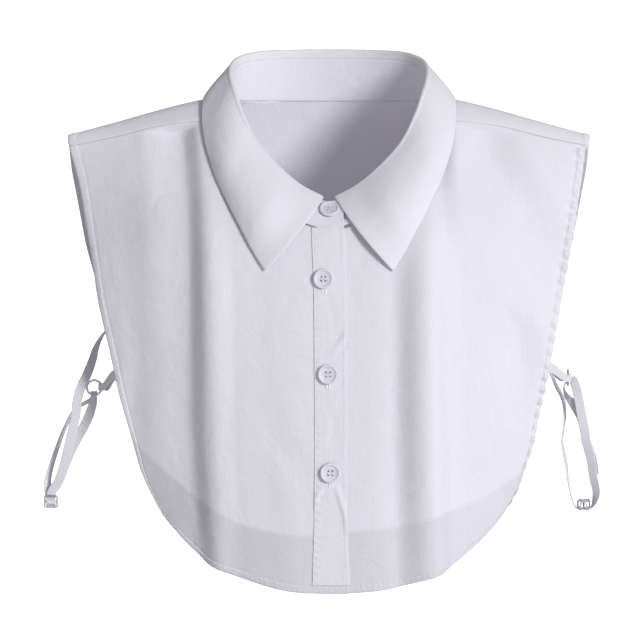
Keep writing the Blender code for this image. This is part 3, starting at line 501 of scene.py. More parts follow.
# Height, distance out on the wearer's right and on the wearer's left.
FRONT_ARMHOLE = [
    (-248.5, 111, 117), (-240.5, 115, 121.5), (-225, 121, 127.4), (-209.5, 125.5, 132.6),
    (-193.5, 130, 135.5), (-178.5, 134, 139), (-147, 141, 145), (-115.5, 149, 150.8),
    (-92, 153, 155.4), (-68, 157.5, 159.5), (-45, 161.5, 163), (-33, 164.5, 164.8),
    (-18, 168.8, 166.5), (-8, 170, 168.3),
]
# Distance out on the wearer's right and left, height.
FRONT_HEM = [
    (0, 0, -303.5), (20, 22, -302.8), (34.5, 40, -300.5), (58.5, 65.6, -293),
    (76.7, 80.6, -285.5), (85.8, 90.3, -278), (94, 98.8, -270.5), (100.7, 106, -263),
    (106.6, 111.8, -256), (111, 117, -248.5),
]
# The placket's two edges: height, x of the left one and of the right one.
PLACKET_EDGES = [(-305, -11, 13.8), (-245, -9.4, 11.4), (-112, -9.8, 11.2), (-60, -11.5, 9.6)]
# The left front reaches under the placket to here, and lies this much lower there.
UNDER_LAP = -10.5
LAP_DROP = 1.1
# Creases on the viewer's left front and right front.
RIGHT_CREASES = [
    (14, 17, [
        (-80, -34, 0.4), (-79, -60, 2.0), (-77, -110, 3.5), (-76, -200, 3.3), (-71, -290, 2.8)]),
    (26, 14, [
        (-98, 6, -5.5), (-97, -14, -6.5), (-95, -34, -4.8), (-93, -80, -2.2), (-94, -190, -1.8),
        (-88, -260, -0.8)]),
    (12, 46, [
        (-150, -60, 0.0), (-145, -110, 2.4), (-140, -180, 3.6), (-130, -225, 3.0),
        (-118, -248, 0.6)]),
    (12, 18, [(-128, -100, 0.0), (-122, -150, -0.7), (-126, -200, -0.8), (-120, -230, 0.0)]),
    (10, 14, [(-40, -180, 0.0), (-36, -200, -0.5), (-22, -220, -0.6), (-18, -240, 0.0)]),
    (9, 9, [(-60, -250, 0.0), (-64, -270, -0.6), (-62, -292, -0.7)]),
]
LEFT_CREASES = [
    (24, 15, [(63, -50, 0.5), (63, -84, 4.8), (64, -200, 8.4), (67, -290, 7.0)]),
    (12, 11, [(73, 2, -1.0), (73, -24, -3.0), (75, -50, -1.6), (84, -120, 0.0)]),
    (30, 34, [
        (100, -20, 0.0), (118, -60, 1.8), (124, -130, 2.4), (116, -200, 1.6), (104, -240, 0.0)]),
    (40, 24, [(94, 4, -2.5), (106, -24, -7.5), (128, -60, -7.0), (146, -98, -0.5)]),
    (28, 17, [(110, -112, 0.0), (121, -136, -5.0), (123, -162, -4.6), (114, -198, 0.0)]),
    (10, 8, [(112, -222, 0.0), (120, -236, 1.1), (126, -244, 1.0)]),
]
# Painted shade on the fronts below the line where the back's hem lies behind them: x and height of
# that line on the fronts.
PAINTED_SHADE_LINE = [
    (-128, -205), (-116, -217), (-87, -241), (-58, -258), (-13, -266), (16, -263), (44, -260),
    (80, -250), (109, -238), (126, -226),
]
RIGHT_HEMS = [(0, False, 3.8, 0.5, 0.2), (1, False, 3.6, 0.3, 0.4)]
LEFT_HEMS = [(0, True, 8.6, -1.1, 1.5), (1, False, 3.6, 0.3, 0.5)]
FRONT_COLUMNS = 128
FRONT_ROWS = 370


def front_cut(side, across, down):
    """Grid of one front on its cut: distance out and way down from the ridge."""
    column = 0 if side < 0 else 1

    def centre(height):
        if side > 0:
            return np.full(np.shape(height), float(UNDER_LAP))
        return 0.6 - through([row[::2] for row in PLACKET_EDGES], height)

    neck = [(float(centre(-65.0)), 91.5)]
    neck += [row for row in FRONT_NECK if row[0] > neck[0][0] + 4.0]
    neck = along(neck, np.linspace(0, 1, 60))
    top = np.vstack([neck, along(FRONT_SHOULDER, np.linspace(0, 1, 61))[1:]])
    tip = worn(FRONT_SHOULDER[-1][0], -FRONT_SHOULDER[-1][1], FRONT_FULLNESS)[2]
    heights = np.linspace(tip, FRONT_ARMHOLE[0][0], 120)
    out = through([(row[0], row[column + 1]) for row in FRONT_ARMHOLE], heights)
    right = np.stack([out, -way_down(out, heights, -1, FRONT_FULLNESS)], 1)
    hem = [(float(centre(-303.0)), -303.5)]
    hem += [(row[column], row[2]) for row in FRONT_HEM if row[column] > hem[0][0] + 4.0]
    hem = along(hem, np.linspace(0, 1, 120))
    low = np.stack([hem[:, 0], -way_down(hem[:, 0], hem[:, 1], -1, FRONT_FULLNESS)], 1)
    ways = np.linspace(top[0][1], low[0][1], 120)
    left = np.stack([centre(worn(0.0, -ways, FRONT_FULLNESS)[:, 2]), ways], 1)
    right[0], low[-1], left[0], left[-1] = top[-1], right[-1], top[0], low[0]
    return between_edges(top, low, left, right, across, down)


def front_piece(name, node, side, creases, hems, seed):
    """One front with its relief, its stitches and its painted shade below the back's hem line."""
    across = hem_shares(FRONT_COLUMNS, 150.0)
    down = hem_shares(FRONT_ROWS, 250.0)
    cut = front_cut(side, across, down)
    middle = worn(cut[..., 0] * side, -cut[..., 1], FRONT_FULLNESS, FRONT_FOLDS)
    if side < 0:
        middle = middle[::-1]
    middle = middle[:, ::-1]
    centre_place = (FRONT_COLUMNS // 2, FRONT_ROWS // 2)
    relief = pressed(creases, middle[..., 0], middle[..., 2])
    relief = relief * ease(distance_in(middle, 1, True) / 4.0)
    relief = relief + rolled_hem(middle, hems, seed)
    if side > 0:
        relief = relief - LAP_DROP * (1.0 - ease((middle[..., 0] - 13.0) / 26.0))
    middle = middle + facing(middle, centre_place, -1) * relief[..., None]
    piece = cloth_shell(name, middle, CLOTH, cloth)
    x, z = middle[..., 0], middle[..., 2]
    # Painted shade share: it rises below the back's hem line and is stronger toward the viewer's left.
    painted_shade = ease((through(PAINTED_SHADE_LINE, x) - z) / 4.5 + 0.5)
    painted_shade = painted_shade * (0.8 - 0.3 * ease((x + 90.0) / 180.0) + 0.06 * np.sin(x / 9.0))
    layer = piece.data.attributes.new("painted_shade_below_hem", "FLOAT", "POINT")
    layer.data.foreach_set(
        "value", np.concatenate([painted_shade.ravel(), painted_shade.ravel(), rim_of(painted_shade)]))
    raised = facing(middle, centre_place, -1)
    lift = CLOTH / 2 + THREAD_LIFT
    lines = [line_in_from(middle, raised, hem, HEM_STITCH, lift) for hem in hems]
    lines.append(line_in_from(middle, raised, (1, True), 1.3, lift))
    rows_of_thread = sewn("stitches_" + name, lines)
    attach(piece, "root")
    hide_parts(node)
    return middle, raised


cloth = poplin("cotton_poplin_white_plain_woven", "#E8E6EF", "#D6D4DD", 0.6)
# Painted shade: below the back's hem line the cloth's colour is mixed up to a fifth of the way toward
# dark grey, standing in for the light that a second layer of cloth would give back.
tree = cloth.node_tree
painted_shade_attribute = add_node(tree, "ShaderNodeAttribute", {"attribute_name": "painted_shade_below_hem"})
painted_shade_share = add_node(tree, "ShaderNodeMath", {"operation": "MULTIPLY"}, {
    0: painted_shade_attribute.outputs["Fac"], 1: 0.2})
unshaded_colour = tree.nodes["Principled BSDF"].inputs["Base Color"].links[0].from_socket
painted_shade_mix = add_node(tree, "ShaderNodeMix", {"data_type": "RGBA"}, {
    0: painted_shade_share.outputs[0], 6: unshaded_colour, 7: linear("#3A3940")})
tree.links.new(painted_shade_mix.outputs[2], tree.nodes["Principled BSDF"].inputs["Base Color"])

right_middle, right_outward = front_piece(
    "front_wearers_right", "front_right", -1, RIGHT_CREASES, RIGHT_HEMS, 11)
left_middle, left_outward = front_piece(
    "front_wearers_left", "front_left", 1, LEFT_CREASES, LEFT_HEMS, 12)


# The placket.
# A band of the same poplin, folded and stitched on the right front's free edge, from the stand
# down to the hem. The buttonholes are worked through it.

# Way down from the ridge at the band's two ends.
PLACKET_TOP_WAY = 91.0
PLACKET_LOW_WAY = 323.4
PLACKET_CREASES = [
    (3.5, 4, [(1, -148, 0.0), (5, -143, 0.55), (10.5, -135, 0.7)]),
    (3, 3.5, [(3, -230, 0.2), (7.5, -242, 0.7), (11.0, -256, 0.7), (12.5, -270, 0.0)]),
    (3, 3, [(-3, -232, 0.2), (-8, -240, 0.55), (-10, -248, 0.2)]),
    (5, 5, [(-6, -100, 0.0), (2, -120, -0.3), (8, -150, 0.0)]),
    (5, 5, [(-4, -170, 0.0), (3, -195, -0.3), (-4, -218, 0.0)]),
]
# The band's height over the front, its thickness, and the spacing of its seam's puckers.
PLACKET_LIFT = 0.54
PLACKET_THICK = 0.55
PLACKET_HALF = 0.28
PUCKER_PITCH = 5.2
PLACKET_COLUMNS = 44
PLACKET_ROWS = 420

placket_ways = np.linspace(PLACKET_TOP_WAY, PLACKET_LOW_WAY, PLACKET_ROWS)
placket_heights = worn(0.0, -placket_ways, FRONT_FULLNESS)[:, 2]
placket_left = through([row[:2] for row in PLACKET_EDGES], placket_heights)
placket_right = through([row[::2] for row in PLACKET_EDGES], placket_heights)
shares = np.linspace(0, 1, PLACKET_COLUMNS)[:, None]
placket_out = placket_left[None, :] * (1 - shares) + placket_right[None, :] * shares
placket_middle = worn(placket_out, -placket_ways[None, :], FRONT_FULLNESS, FRONT_FOLDS)[:, ::-1]
placket_z = placket_middle[..., 2]
placket_lift = PLACKET_LIFT + pressed(PLACKET_CREASES, placket_middle[..., 0], placket_z)
# The seam on the band's left edge is puckered, most of all near the hem.
seam_gap = distance_in(placket_middle, 0, False)
seam_pucker = np.sin(placket_z * 2 * math.pi / PUCKER_PITCH + 1.3 * np.sin(placket_z / 11.0))
seam_pucker *= 0.08 + 0.2 * ease((-150.0 - placket_z) / 130.0)
placket_lift = placket_lift + seam_pucker * np.exp(-((seam_gap - 2.0) / 1.8) ** 2)
placket_lift = placket_lift - 0.12 * np.exp(-((seam_gap - 1.6) / 0.6) ** 2)
placket_middle = placket_middle + facing(placket_middle, (5, 100), -1) * placket_lift[..., None]
placket = cloth_shell("placket_folded_band", placket_middle, PLACKET_THICK, cloth)
placket_raised = facing(placket_middle, (5, 100), -1)
placket_stitches = sewn("stitches_placket", [
    line_in_from(placket_middle, placket_raised, (0, False), 1.6, 0.36),
    line_in_from(placket_middle, placket_raised, (0, True), 1.8, 0.33),
    line_in_from(placket_middle, placket_raised, (1, False), HEM_STITCH, 0.36)])
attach(placket, "root")
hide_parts("placket_band")


# The collar: stand.
# A fused band cut in two layers of poplin. It holds the neck edges between its layers, closes
# at the front with a button, and carries the leaf on its upper edge.

# Stations from the centre back to the front: the neck seam as distance out and way down, the
# fold's crest as x, y, z, the leaf's edge as out and way down, then the fold's roll and its bulge.
COLLAR = [
    (0, 65.5, 0, 44, 41, 0, 79, 6, 2),
    (28, 55.3, 27, 41.5, 41, 32, 68.5, 6, 2),
    (50, 38.8, 46.5, 32.5, 40.5, 58, 44, 6, 2),
    (64, 16, 57.5, 20, 38, 74, 23, 6, 2),
    (70, 4, 62.2, 5, 33, 80.5, 1, 6, 2),
    (70.8, -10, 62.2, -7, 26.5, 82, -21, 6, 2),
    (69.6, -23, 59.8, -18, 18.5, 79.5, -40, 6, 2),
    (64.5, -37, 55, -28.5, 4.5, 74, -57.5, 5.5, 2),
    (56, -53.5, 46.5, -36.5, -13, 67.5, -71.5, 5, 2),
    (44, -68.5, 34, -42.5, -27.5, 59.5, -86.5, 4.5, 4),
    (28, -82.5, 19.5, -46, -40.3, 50.5, -103, 4, 7),
    (5, -91.5, 5, -47.5, -48.5, 41.2, -118, 3, 11),
]
# The stand alone runs on past the leaf to its lapped ends.
STAND_ENDS = [
    (0, -92, 0, -47.8, -49.2, 0, -118, 3.2, 8),
    (-9.5, -90.4, -9.5, -47.1, -46.8, -9.5, -118, 3.8, 8),
]
STAND_REACH = 1.076
STAND_THICK = 1.1
STAND_LAP = 1.1
HALF_COLLAR = 190.0
# Height of the straight neck seam behind, as the lens sees it.
BACK_SEAM_SEEN = 11.9
LEAF_LIFT = 2.2


def worn_both(out, way):
    """Point of the worn cloth, read in front or behind by the sign of the way."""
    front = worn(out, way, FRONT_FULLNESS, FRONT_FOLDS)
    behind = worn(out, way, BACK_FULLNESS, BACK_FOLDS)
    return np.where(np.asarray(way)[..., None] < 0, front, behind)


def collar_stations(places, stand_end):
    """Neck seam, fold crest, leaf edge, roll and bulge at places along the collar."""
    rows = np.array(COLLAR + STAND_ENDS if stand_end else COLLAR, float)
    steps = np.linalg.norm(np.diff(rows[:, 2:5], axis=0), axis=1)
    keys = np.concatenate([[0.0], np.cumsum(steps)])
    keys = keys / keys[len(COLLAR) - 1]
    share, side = np.abs(places), np.where(places < 0, -1.0, 1.0)
    # Rows mirrored past the centre back keep every line smooth there.
    keys = np.concatenate([-keys[2:0:-1], keys])
    signs = np.where(np.isin(np.arange(9), (0, 2, 5)), -1.0, 1.0)
    rows = np.vstack([rows[2:0:-1] * signs, rows])
    read = [through(np.stack([keys, column], 1), share) for column in rows.T]
    necks = worn_both(read[0] * side, read[1])
    folds = np.stack([read[2] * side, read[3], read[4]], 1)
    out, way = read[5] * side, read[6]
    edges = worn_both(out, way)
    across = worn_both(out + 0.6, way) - worn_both(out - 0.6, way)
    down = worn_both(out, way + 0.6) - worn_both(out, way - 0.6)
    lift = np.cross(across, down)
    edges = edges + lift / np.linalg.norm(lift, axis=1, keepdims=True) * LEAF_LIFT
    tangents = np.gradient(folds, axis=0)
    ups = folds - necks
    ups /= np.linalg.norm(ups, axis=1, keepdims=True)
    outs = np.cross(tangents, ups)
    outs /= np.linalg.norm(outs, axis=1, keepdims=True)
    if outs[len(outs) // 2, 1] < 0:
        outs = -outs
    return necks, folds, edges, ups, outs, read[7], read[8]


fused_cloth = poplin("cotton_poplin_white_over_interlining", "#E7E5EE", "#DAD8E1", 0.4)
stand_places = np.linspace(-STAND_REACH, STAND_REACH, 400)
necks, folds, _, ups, outs, rolls, _ = collar_stations(stand_places, True)
stand_share = np.abs(stand_places)
stand_height = np.linalg.norm(folds - necks, axis=1) - rolls
end_way = (STAND_REACH - stand_share) * HALF_COLLAR
rounded = np.sqrt(np.maximum(1.0 - np.clip(1.0 - end_way / 6.0, 0, 1) ** 2, 0.0))
corner = 1.0 - 0.3 * (1.0 - rounded)
at_front = ease((stand_share - 0.86) / 0.1)
stand_lap = STAND_LAP * at_front * np.where(stand_places < 0, 1.0, -1.0)
stand_bow = 0.6 * ease((stand_share - 0.75) / 0.25)
seam_seen = necks[:, 2] * 0.996 + necks[:, 1] * 0.087
at_back = 1.0 - ease((stand_share - 0.3) / 0.14)
base_gap = (BACK_SEAM_SEEN - seam_seen) * at_back + 0.6 * (1.0 - at_back)
base_gap = base_gap + at_front * np.where(stand_places < 0, -0.5, 1.0)
stand_lines = np.linspace(0, 1, 30)
run = base_gap[:, None] + (stand_height * corner - base_gap)[:, None] * stand_lines[None, :]
seated = 0.4 + 0.6 * ease(stand_lines / 0.4)[None, :]
bowed = stand_lap[:, None] * seated + stand_bow[:, None] * np.sin(math.pi * stand_lines)[None, :]
stand_middle = (
    necks[:, None, :] + ups[:, None, :] * run[..., None] + outs[:, None, :] * bowed[..., None])
stand = cloth_shell("collar_stand_fused_band", stand_middle, STAND_THICK, fused_cloth)
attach(stand, "root")
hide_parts("collar_stand")
stand_raised = facing(stand_middle, (200, 15), 1)
stand_stitches = sewn("stitches_collar_stand", [
    line_in_from(stand_middle, stand_raised, (1, top), gap, side * (STAND_THICK / 2 + THREAD_LIFT))
    for gap, top in ((1.9, False), (1.2, True)) for side in (-1.0, 1.0)])


# The collar: leaf.
# Two layers of poplin with interlining, turned out and pressed flat, seamed to the stand's
# upper edge. It folds over the stand and lies down over the neck seam, with long points.

LEAF_THICK = 1.0
FOLD_RADIUS = 1.25

leaf_places = np.linspace(-1.0, 1.0, 420)
necks, folds, edges, ups, outs, rolls, bulges = collar_stations(leaf_places, False)
base = folds - ups * (rolls - 0.3)[:, None]
turn = folds - ups * FOLD_RADIUS
columns = [base + (turn - base) * part for part in (0.0, 0.33, 0.66)]
for angle in np.radians(np.linspace(180, 10, 12)):
    columns.append(
        turn + outs * FOLD_RADIUS * (1.0 + math.cos(angle)) + ups * FOLD_RADIUS * math.sin(angle))
start = turn + outs * FOLD_RADIUS * 2.05 - ups * 0.6
flat_out = outs * np.array([1.0, 1.0, 0.4])
flat_out /= np.linalg.norm(flat_out, axis=1, keepdims=True)
# The leaf leaves its fold flat and turns down toward its outer edge, most of all in front.
in_front = ease((np.abs(leaf_places) - 0.45) / 0.25)[:, None]
before_point = 1.0 - ease((np.abs(leaf_places) - 0.86) / 0.12)[:, None]
spring = bulges[:, None] * (0.5 + 0.42 * in_front) + 4.2 * in_front * before_point
control = start + (edges - start) * (0.5 + 0.14 * in_front) + flat_out * 2.0 * spring
for part in np.linspace(0.0, 1.0, 44):
    columns.append(start * (1 - part) ** 2 + control * 2 * part * (1 - part) + edges * part ** 2)
leaf_middle = np.stack(columns, axis=1)
leaf = cloth_shell("collar_leaf_turned_and_pressed", leaf_middle, LEAF_THICK, fused_cloth)
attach(leaf, "root")
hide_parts("collar_leaf")


# The buttons.
# Four-hole shirt buttons of clear white resin, turned with a rim and a shallow dish. Each is sewn
# on with two upright bars of thread, over a buttonhole worked in close satin stitch.

BUTTON_RADIUS = 6.6
BUTTON_THICK = 2.4
# Where each one is sewn on; it is seated on the cloth nearest to that place.
BUTTONS = [
    ("button_collar", (0.55, -59.7, -53.9)), ("button_top", (-3.62, -79.6, -97.97)),
    ("button_middle", (-1.0, -83.5, -160.0)), ("button_low", (0.9, -80.9, -224.2)),
]
# Share of the radius and of the thickness, from the middle of the back over the rim to the dish.
BUTTON_PROFILE = [
    (0.0, -0.5), (0.66, -0.5), (0.84, -0.42), (0.95, -0.22), (1.0, 0.02), (0.985, 0.26),
    (0.94, 0.43), (0.88, 0.5), (0.82, 0.46), (0.77, 0.34), (0.72, 0.22), (0.6, 0.16), (0.4, 0.1),
    (0.0, 0.08),
]
BUTTON_STEPS = 48
BUTTON_SHANK = 0.35
BUTTON_HOLE = 0.62
BUTTON_HOLE_STEP = 1.3
DRILL_STEPS = 16
# A bar of thread between two holes: way along it and height over the button's middle.
THREAD_BAR = [(-1.3, -0.1), (-1.1, 0.38), (0.0, 0.52), (1.1, 0.38), (1.3, -0.1)]

# Cast polyester resin: clear white with faint clouds, and polished, so its rim takes a soft gloss.
resin, resin_shader, _ = clouded(
    "polyester_resin_white_cast_polished", 6, 2.0, "#D5D3DC", "#DFDDE6")
resin_shader.inputs["Roughness"].default_value = 0.42
resin_shader.inputs["Specular IOR Level"].default_value = 0.3
resin_shader.inputs["Subsurface Weight"].default_value = 0.25
resin_shader.inputs["Subsurface Radius"].default_value = (0.002, 0.002, 0.002)
resin_shader.inputs["Subsurface Scale"].default_value = 1.0


def circle(radius, steps, x, y, z):
    """Points of a level circle."""
    return [(x + radius * math.cos(turn), y + radius * math.sin(turn), z)
            for turn in np.arange(steps) * 2 * math.pi / steps]


def drilled_button(name):
    """Mesh of a turned button about +Z with four holes drilled through it."""
    points = [(0.0, 0.0, BUTTON_PROFILE[0][1] * BUTTON_THICK)]
    for share, height in BUTTON_PROFILE[1:-1]:
        points += circle(share * BUTTON_RADIUS, BUTTON_STEPS, 0.0, 0.0, height * BUTTON_THICK)
    points.append((0.0, 0.0, BUTTON_PROFILE[-1][1] * BUTTON_THICK))
    # The flat ends of the tube are left out: here they are fans round the two middle points.
    faces = tube_faces(1, len(BUTTON_PROFILE) - 2, BUTTON_STEPS)[:-2]
    for step in range(BUTTON_STEPS):
        following = (step + 1) % BUTTON_STEPS
        top = len(points) - 1 - BUTTON_STEPS
        faces += [(0, 1 + following, 1 + step), (top + step, top + following, len(points) - 1)]
    button = add_object(name, points, faces, resin)
    points, faces = [], []
    for x in (-BUTTON_HOLE_STEP, BUTTON_HOLE_STEP):
        for y in (-BUTTON_HOLE_STEP, BUTTON_HOLE_STEP):
            faces += tube_faces(len(points), 2, DRILL_STEPS)
            points += circle(BUTTON_HOLE, DRILL_STEPS, x, y, -4.0)
            points += circle(BUTTON_HOLE, DRILL_STEPS, x, y, 4.0)
    drill = add_object("drill", points, faces, resin)
    holes = button.modifiers.new("holes", "BOOLEAN")
    holes.operation = "DIFFERENCE"
    holes.solver = "EXACT"
    holes.object = drill
    bpy.context.view_layer.update()
    drilled = bpy.data.meshes.new_from_object(
        button.evaluated_get(bpy.context.evaluated_depsgraph_get()))
    button.modifiers.clear()
    bpy.data.objects.remove(drill)
    drilled.materials.clear()
    drilled.materials.append(resin)
    drilled.shade_smooth()
    button.data = drilled
    return button


for name, place in BUTTONS:
    button = drilled_button(name + "_turned")
    if name == "button_collar":
        cloth_under, raised_under, half = stand_middle, stand_raised, STAND_THICK / 2
    else:
        cloth_under, raised_under, half = placket_middle, placket_raised, PLACKET_HALF
    apart = np.linalg.norm(cloth_under - np.array(place), axis=2)
    nearest = np.unravel_index(np.argmin(apart), apart.shape)
    axis = raised_under[nearest]
    centre = cloth_under[nearest] + axis * (half + BUTTON_SHANK + BUTTON_THICK / 2)
    across = np.cross([0.0, 0.0, 1.0], axis)
    across /= np.linalg.norm(across)
    stance = np.stack([across, np.cross(axis, across), axis], axis=1)
    for vertex in button.data.vertices:
        vertex.co = stance @ np.array(vertex.co) + centre * MM
    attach(button, "root")
    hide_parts(name)
    bars = [
        np.array([(side * BUTTON_HOLE_STEP + shift, y, z) for y, z in THREAD_BAR])
        @ stance.T + centre
        for side in (-1, 1) for shift in (-0.22, 0.22)]
    sewn("thread_" + name, bars, 2.6, 0.24)

# Buttonholes: x and z of the upper end, length. Each is two welts of close satin stitch.
BUTTONHOLES = [
    ("buttonhole_top", -3.4, -94.5, 13.6), ("buttonhole_middle", -0.9, -156.0, 13.6),
    ("buttonhole_low", 1.0, -220.0, 13.8),
]
WELT_LINES = 12
WELT_STEPS = 90
WELT_HEIGHT = 0.42
SATIN_PITCH = 0.62
for name, x, z, length in BUTTONHOLES:
    gap = np.hypot(placket_middle[..., 0] - x, placket_middle[..., 2] - z)
    column = np.unravel_index(np.argmin(gap), gap.shape)[0]
    way = np.linspace(0.0, length, WELT_STEPS)
    near = np.argmin(np.abs(placket_middle[column, :, 2] - (z - way)[:, None]), axis=1)
    spots = np.stack([x + 0.012 * way, placket_middle[column, near, 1], z - way], axis=1)
    spots[:, 1] = np.convolve(np.pad(spots[:, 1], 4, "edge"), np.ones(9) / 9, "valid")
    lifts = placket_raised[column, near]
    at_end = 1.0 - ease(np.minimum(way, length - way) / 1.1)
    satin = WELT_HEIGHT * (1.0 + 0.16 * np.cos(2 * math.pi * way / SATIN_PITCH))
    points, faces = [], []
    for side in (-1, 1):
        rings = np.stack([
            spots + lifts * (0.3 + satin * math.sin(turn))[:, None]
            + [1, 0, 0] * (side * (0.95 - 0.35 * at_end)
                           + (0.6 + 0.15 * at_end) * math.cos(turn))[:, None]
            for turn in np.arange(WELT_LINES) * 2 * math.pi / WELT_LINES], axis=1)
        faces += tube_faces(len(points), WELT_STEPS, WELT_LINES)
        points += rings.reshape(-1, 3).tolist()
    buttonhole = add_object(name, points, faces, thread)
    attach(buttonhole, "root")


# The side straps and tabs.
# Narrow white elastic with cords woven along it. Each strap runs from the back's hem through a
# slider and round a ring; a short folded tab sewn to the front's hem holds the ring.

ELASTIC_WIDTH = 6.2
ELASTIC_THICK = 0.9
ELASTIC_RIB = 0.62
# Rows of a strap: x, y, z, turn of the flat side from X toward Y, width.
STRAP_RIGHT = [
    (-141.6, 21.0, -137.5, 84, 6.2), (-145.6, 17.5, -141.0, 80, 6.2), (-149.4, 11, -146.5, 72, 6.2),
    (-152.0, 4, -152.0, 62, 6.2),
    (-153.8, -3, -157.5, 48, 6.2), (-156.9, -10, -165.5, 26, 6.2), (-160.8, -14.5, -173.5, 8, 6.2),
    (-163.4, -15.6, -182.0, 0, 6.2), (-164.8, -14.8, -194.0, 0, 6.2), (-167.2, -13.2, -204.5, 0, 6.2),
    (-170.4, -10.8, -218.0, 0, 6.2), (-173.8, -7.8, -231.0, 0, 6.2), (-177.4, -4.4, -239.5, 0, 6.2),
    (-180.3, -3.2, -243.6, 0, 6.2), (-181.0, -3.1, -246.6, 0, 6.2), (-181.0, -5.0, -248.1, 0, 6.2),
    (-181.0, -6.8, -250.0, 0, 6.2), (-181.0, -5.0, -251.9, 0, 6.2), (-181.0, -3.1, -252.9, 0, 6.2),
    (-181.0, -1.5, -251.0, 0, 6.2), (-181.3, -1.2, -247.0, 5, 6.2), (-182.8, -1.0, -242.6, 20, 6.2),
    (-183.2, -0.4, -237.0, 40, 6.2), (-181.2, 0.4, -228.5, 55, 6.2), (-177.8, 0.6, -218.0, 60, 6.2),
    (-173.4, 0.0, -206.0, 65, 6.2), (-169.4, -1.0, -197.0, 65, 6.2), (-165.6, -2.2, -190.6, 60, 6.2),
    (-161.0, -3.4, -187.0, 45, 6.0), (-156.6, -5.0, -184.6, 20, 5.2), (-153.6, -6.2, -182.9, 0, 4.4),
    (-152.8, -6.4, -179.8, 0, 4.2), (-152.8, -8.4, -177.7, 0, 4.2), (-152.8, -10.4, -179.8, 0, 4.2),
    (-153.0, -10.6, -182.8, 0, 4.6), (-153.8, -10.8, -186.5, 0, 5.6), (-156.6, -9.9, -194.5, 0, 6.2),
    (-160.4, -8.6, -202.5, 0, 6.2), (-165.0, -7.0, -211.0, 0, 6.2), (-170.2, -5.0, -222.5, 0, 6.2),
    (-173.9, -3.4, -232.0, 0, 6.2), (-175.9, -2.8, -237.0, 0, 6.2),
]
STRAP_LEFT = [
    (140.4, 21.3, -137.5, -50, 6.2), (142.0, 17.0, -149.0, -85, 6.2), (143.8, 11, -164.0, -104, 6.2),
    (148.2, 6.4, -175.5, -112, 6.2), (152.4, 4, -184.0, -112, 6.2), (153.6, 2, -194.0, -104, 6.2),
    (152.6, 0.6, -204.0, -96, 6.2), (151.9, 0, -212.0, -100, 6.2), (153.3, -0.6, -220.0, -106, 6.2),
    (154.9, -1.2, -228.5, -104, 6.2), (155.7, -1.8, -236.6, -96, 6.2), (157.2, -2.4, -244.6, -92, 6.2),
    (159.4, -2.8, -251.8, -90, 6.2), (161.6, -3.0, -254.5, -90, 6.2), (163.3, -3.0, -253.9, -90, 6.2),
    (163.95, -3.0, -252.1, -90, 6.2), (164.6, -3.0, -250.6, -90, 6.2), (165.8, -3.0, -250.1, -90, 6.2),
    (167.0, -3.0, -250.6, -90, 6.2), (167.65, -3.0, -252.1, -90, 6.2), (168.3, -3.0, -253.9, -90, 6.2),
    (170.0, -3.0, -254.5, -90, 6.2),
    (172.6, -4.2, -250.6, -62, 6.2), (174.0, -5.2, -243.6, -34, 6.2), (172.2, -6.0, -234.7, -24, 6.2),
    (170.5, -7.0, -222.8, -18, 6.2), (167.2, -8.4, -210.0, -10, 6.2), (165.8, -9.4, -200.0, 0, 6.2),
    (164.2, -10.2, -192.8, 0, 6.2), (162.6, -10.8, -183.0, 0, 6.2), (160.6, -10.8, -174.6, -8, 6.2),
    (158.8, -9.8, -170.2, -22, 6.0), (157.2, -8.4, -169.2, -70, 5.0), (155.4, -8.2, -170.6, -90, 4.2),
    (153.4, -8.2, -173.1, -90, 4.2), (153.0, -8.2, -176.0, -80, 4.4), (155.2, -7.2, -181.2, -40, 5.4),
    (159.4, -7.2, -186.6, -10, 6.2), (163.6, -7.2, -193.6, 0, 6.2), (165.8, -6.8, -200.6, 0, 6.2),
    (167.6, -5.8, -210.0, -10, 6.2), (171.8, -4.6, -222.8, -25, 6.2), (173.5, -3.9, -232.0, -45, 6.2),
]
# Tabs: end near the front's hem, and the ring's wire that they go round.
TABS = [
    ("tab_right", (-137.7, -36.9, -163.4), (-147.8, -8.4, -174.8)),
    ("tab_left", (142.8, -33.4, -159.8), (155.4, -13.2, -168.3)),
]
TAB_THICK = 0.8
TAB_REACH = 1.95
TAB_SEWN = 7.0
TAB_GATHERED = 4.6

# Braided elastic: matt white yarn over rubber cords, so it shows ribs along it and fine picks.
elastic = bpy.data.materials.new("polyester_elastic_white_braided")
elastic.use_nodes = True
tree = elastic.node_tree
elastic_shader = tree.nodes["Principled BSDF"]
cut = add_node(tree, "ShaderNodeAttribute", {"attribute_name": "cut_place"})
# Picks lie 0.5 mm apart in the real elastic and are drawn 1.3 mm apart so that they show.
picks = add_node(tree, "ShaderNodeTexWave", {"wave_type": "BANDS", "bands_direction": "Y"}, {
    "Vector": cut.outputs["Vector"], "Scale": 2 * math.pi / (20 * 1.3 * MM), "Distortion": 1.2,
    "Detail": 1.0, "Detail Scale": 2.0})
pick_colour = add_node(tree, "ShaderNodeMix", {"data_type": "RGBA"}, {
    0: picks.outputs["Fac"], 6: linear("#D2D0D9"), 7: linear("#E6E4EC")})
pick_bump = add_node(tree, "ShaderNodeBump", {}, {
    "Strength": 0.6, "Distance": 0.12 * MM, "Height": picks.outputs["Fac"]})
tree.links.new(pick_colour.outputs[2], elastic_shader.inputs["Base Color"])
tree.links.new(pick_bump.outputs[0], elastic_shader.inputs["Normal"])
elastic_shader.inputs["Roughness"].default_value = 0.7
elastic_shader.inputs["Sheen Weight"].default_value = 0.15


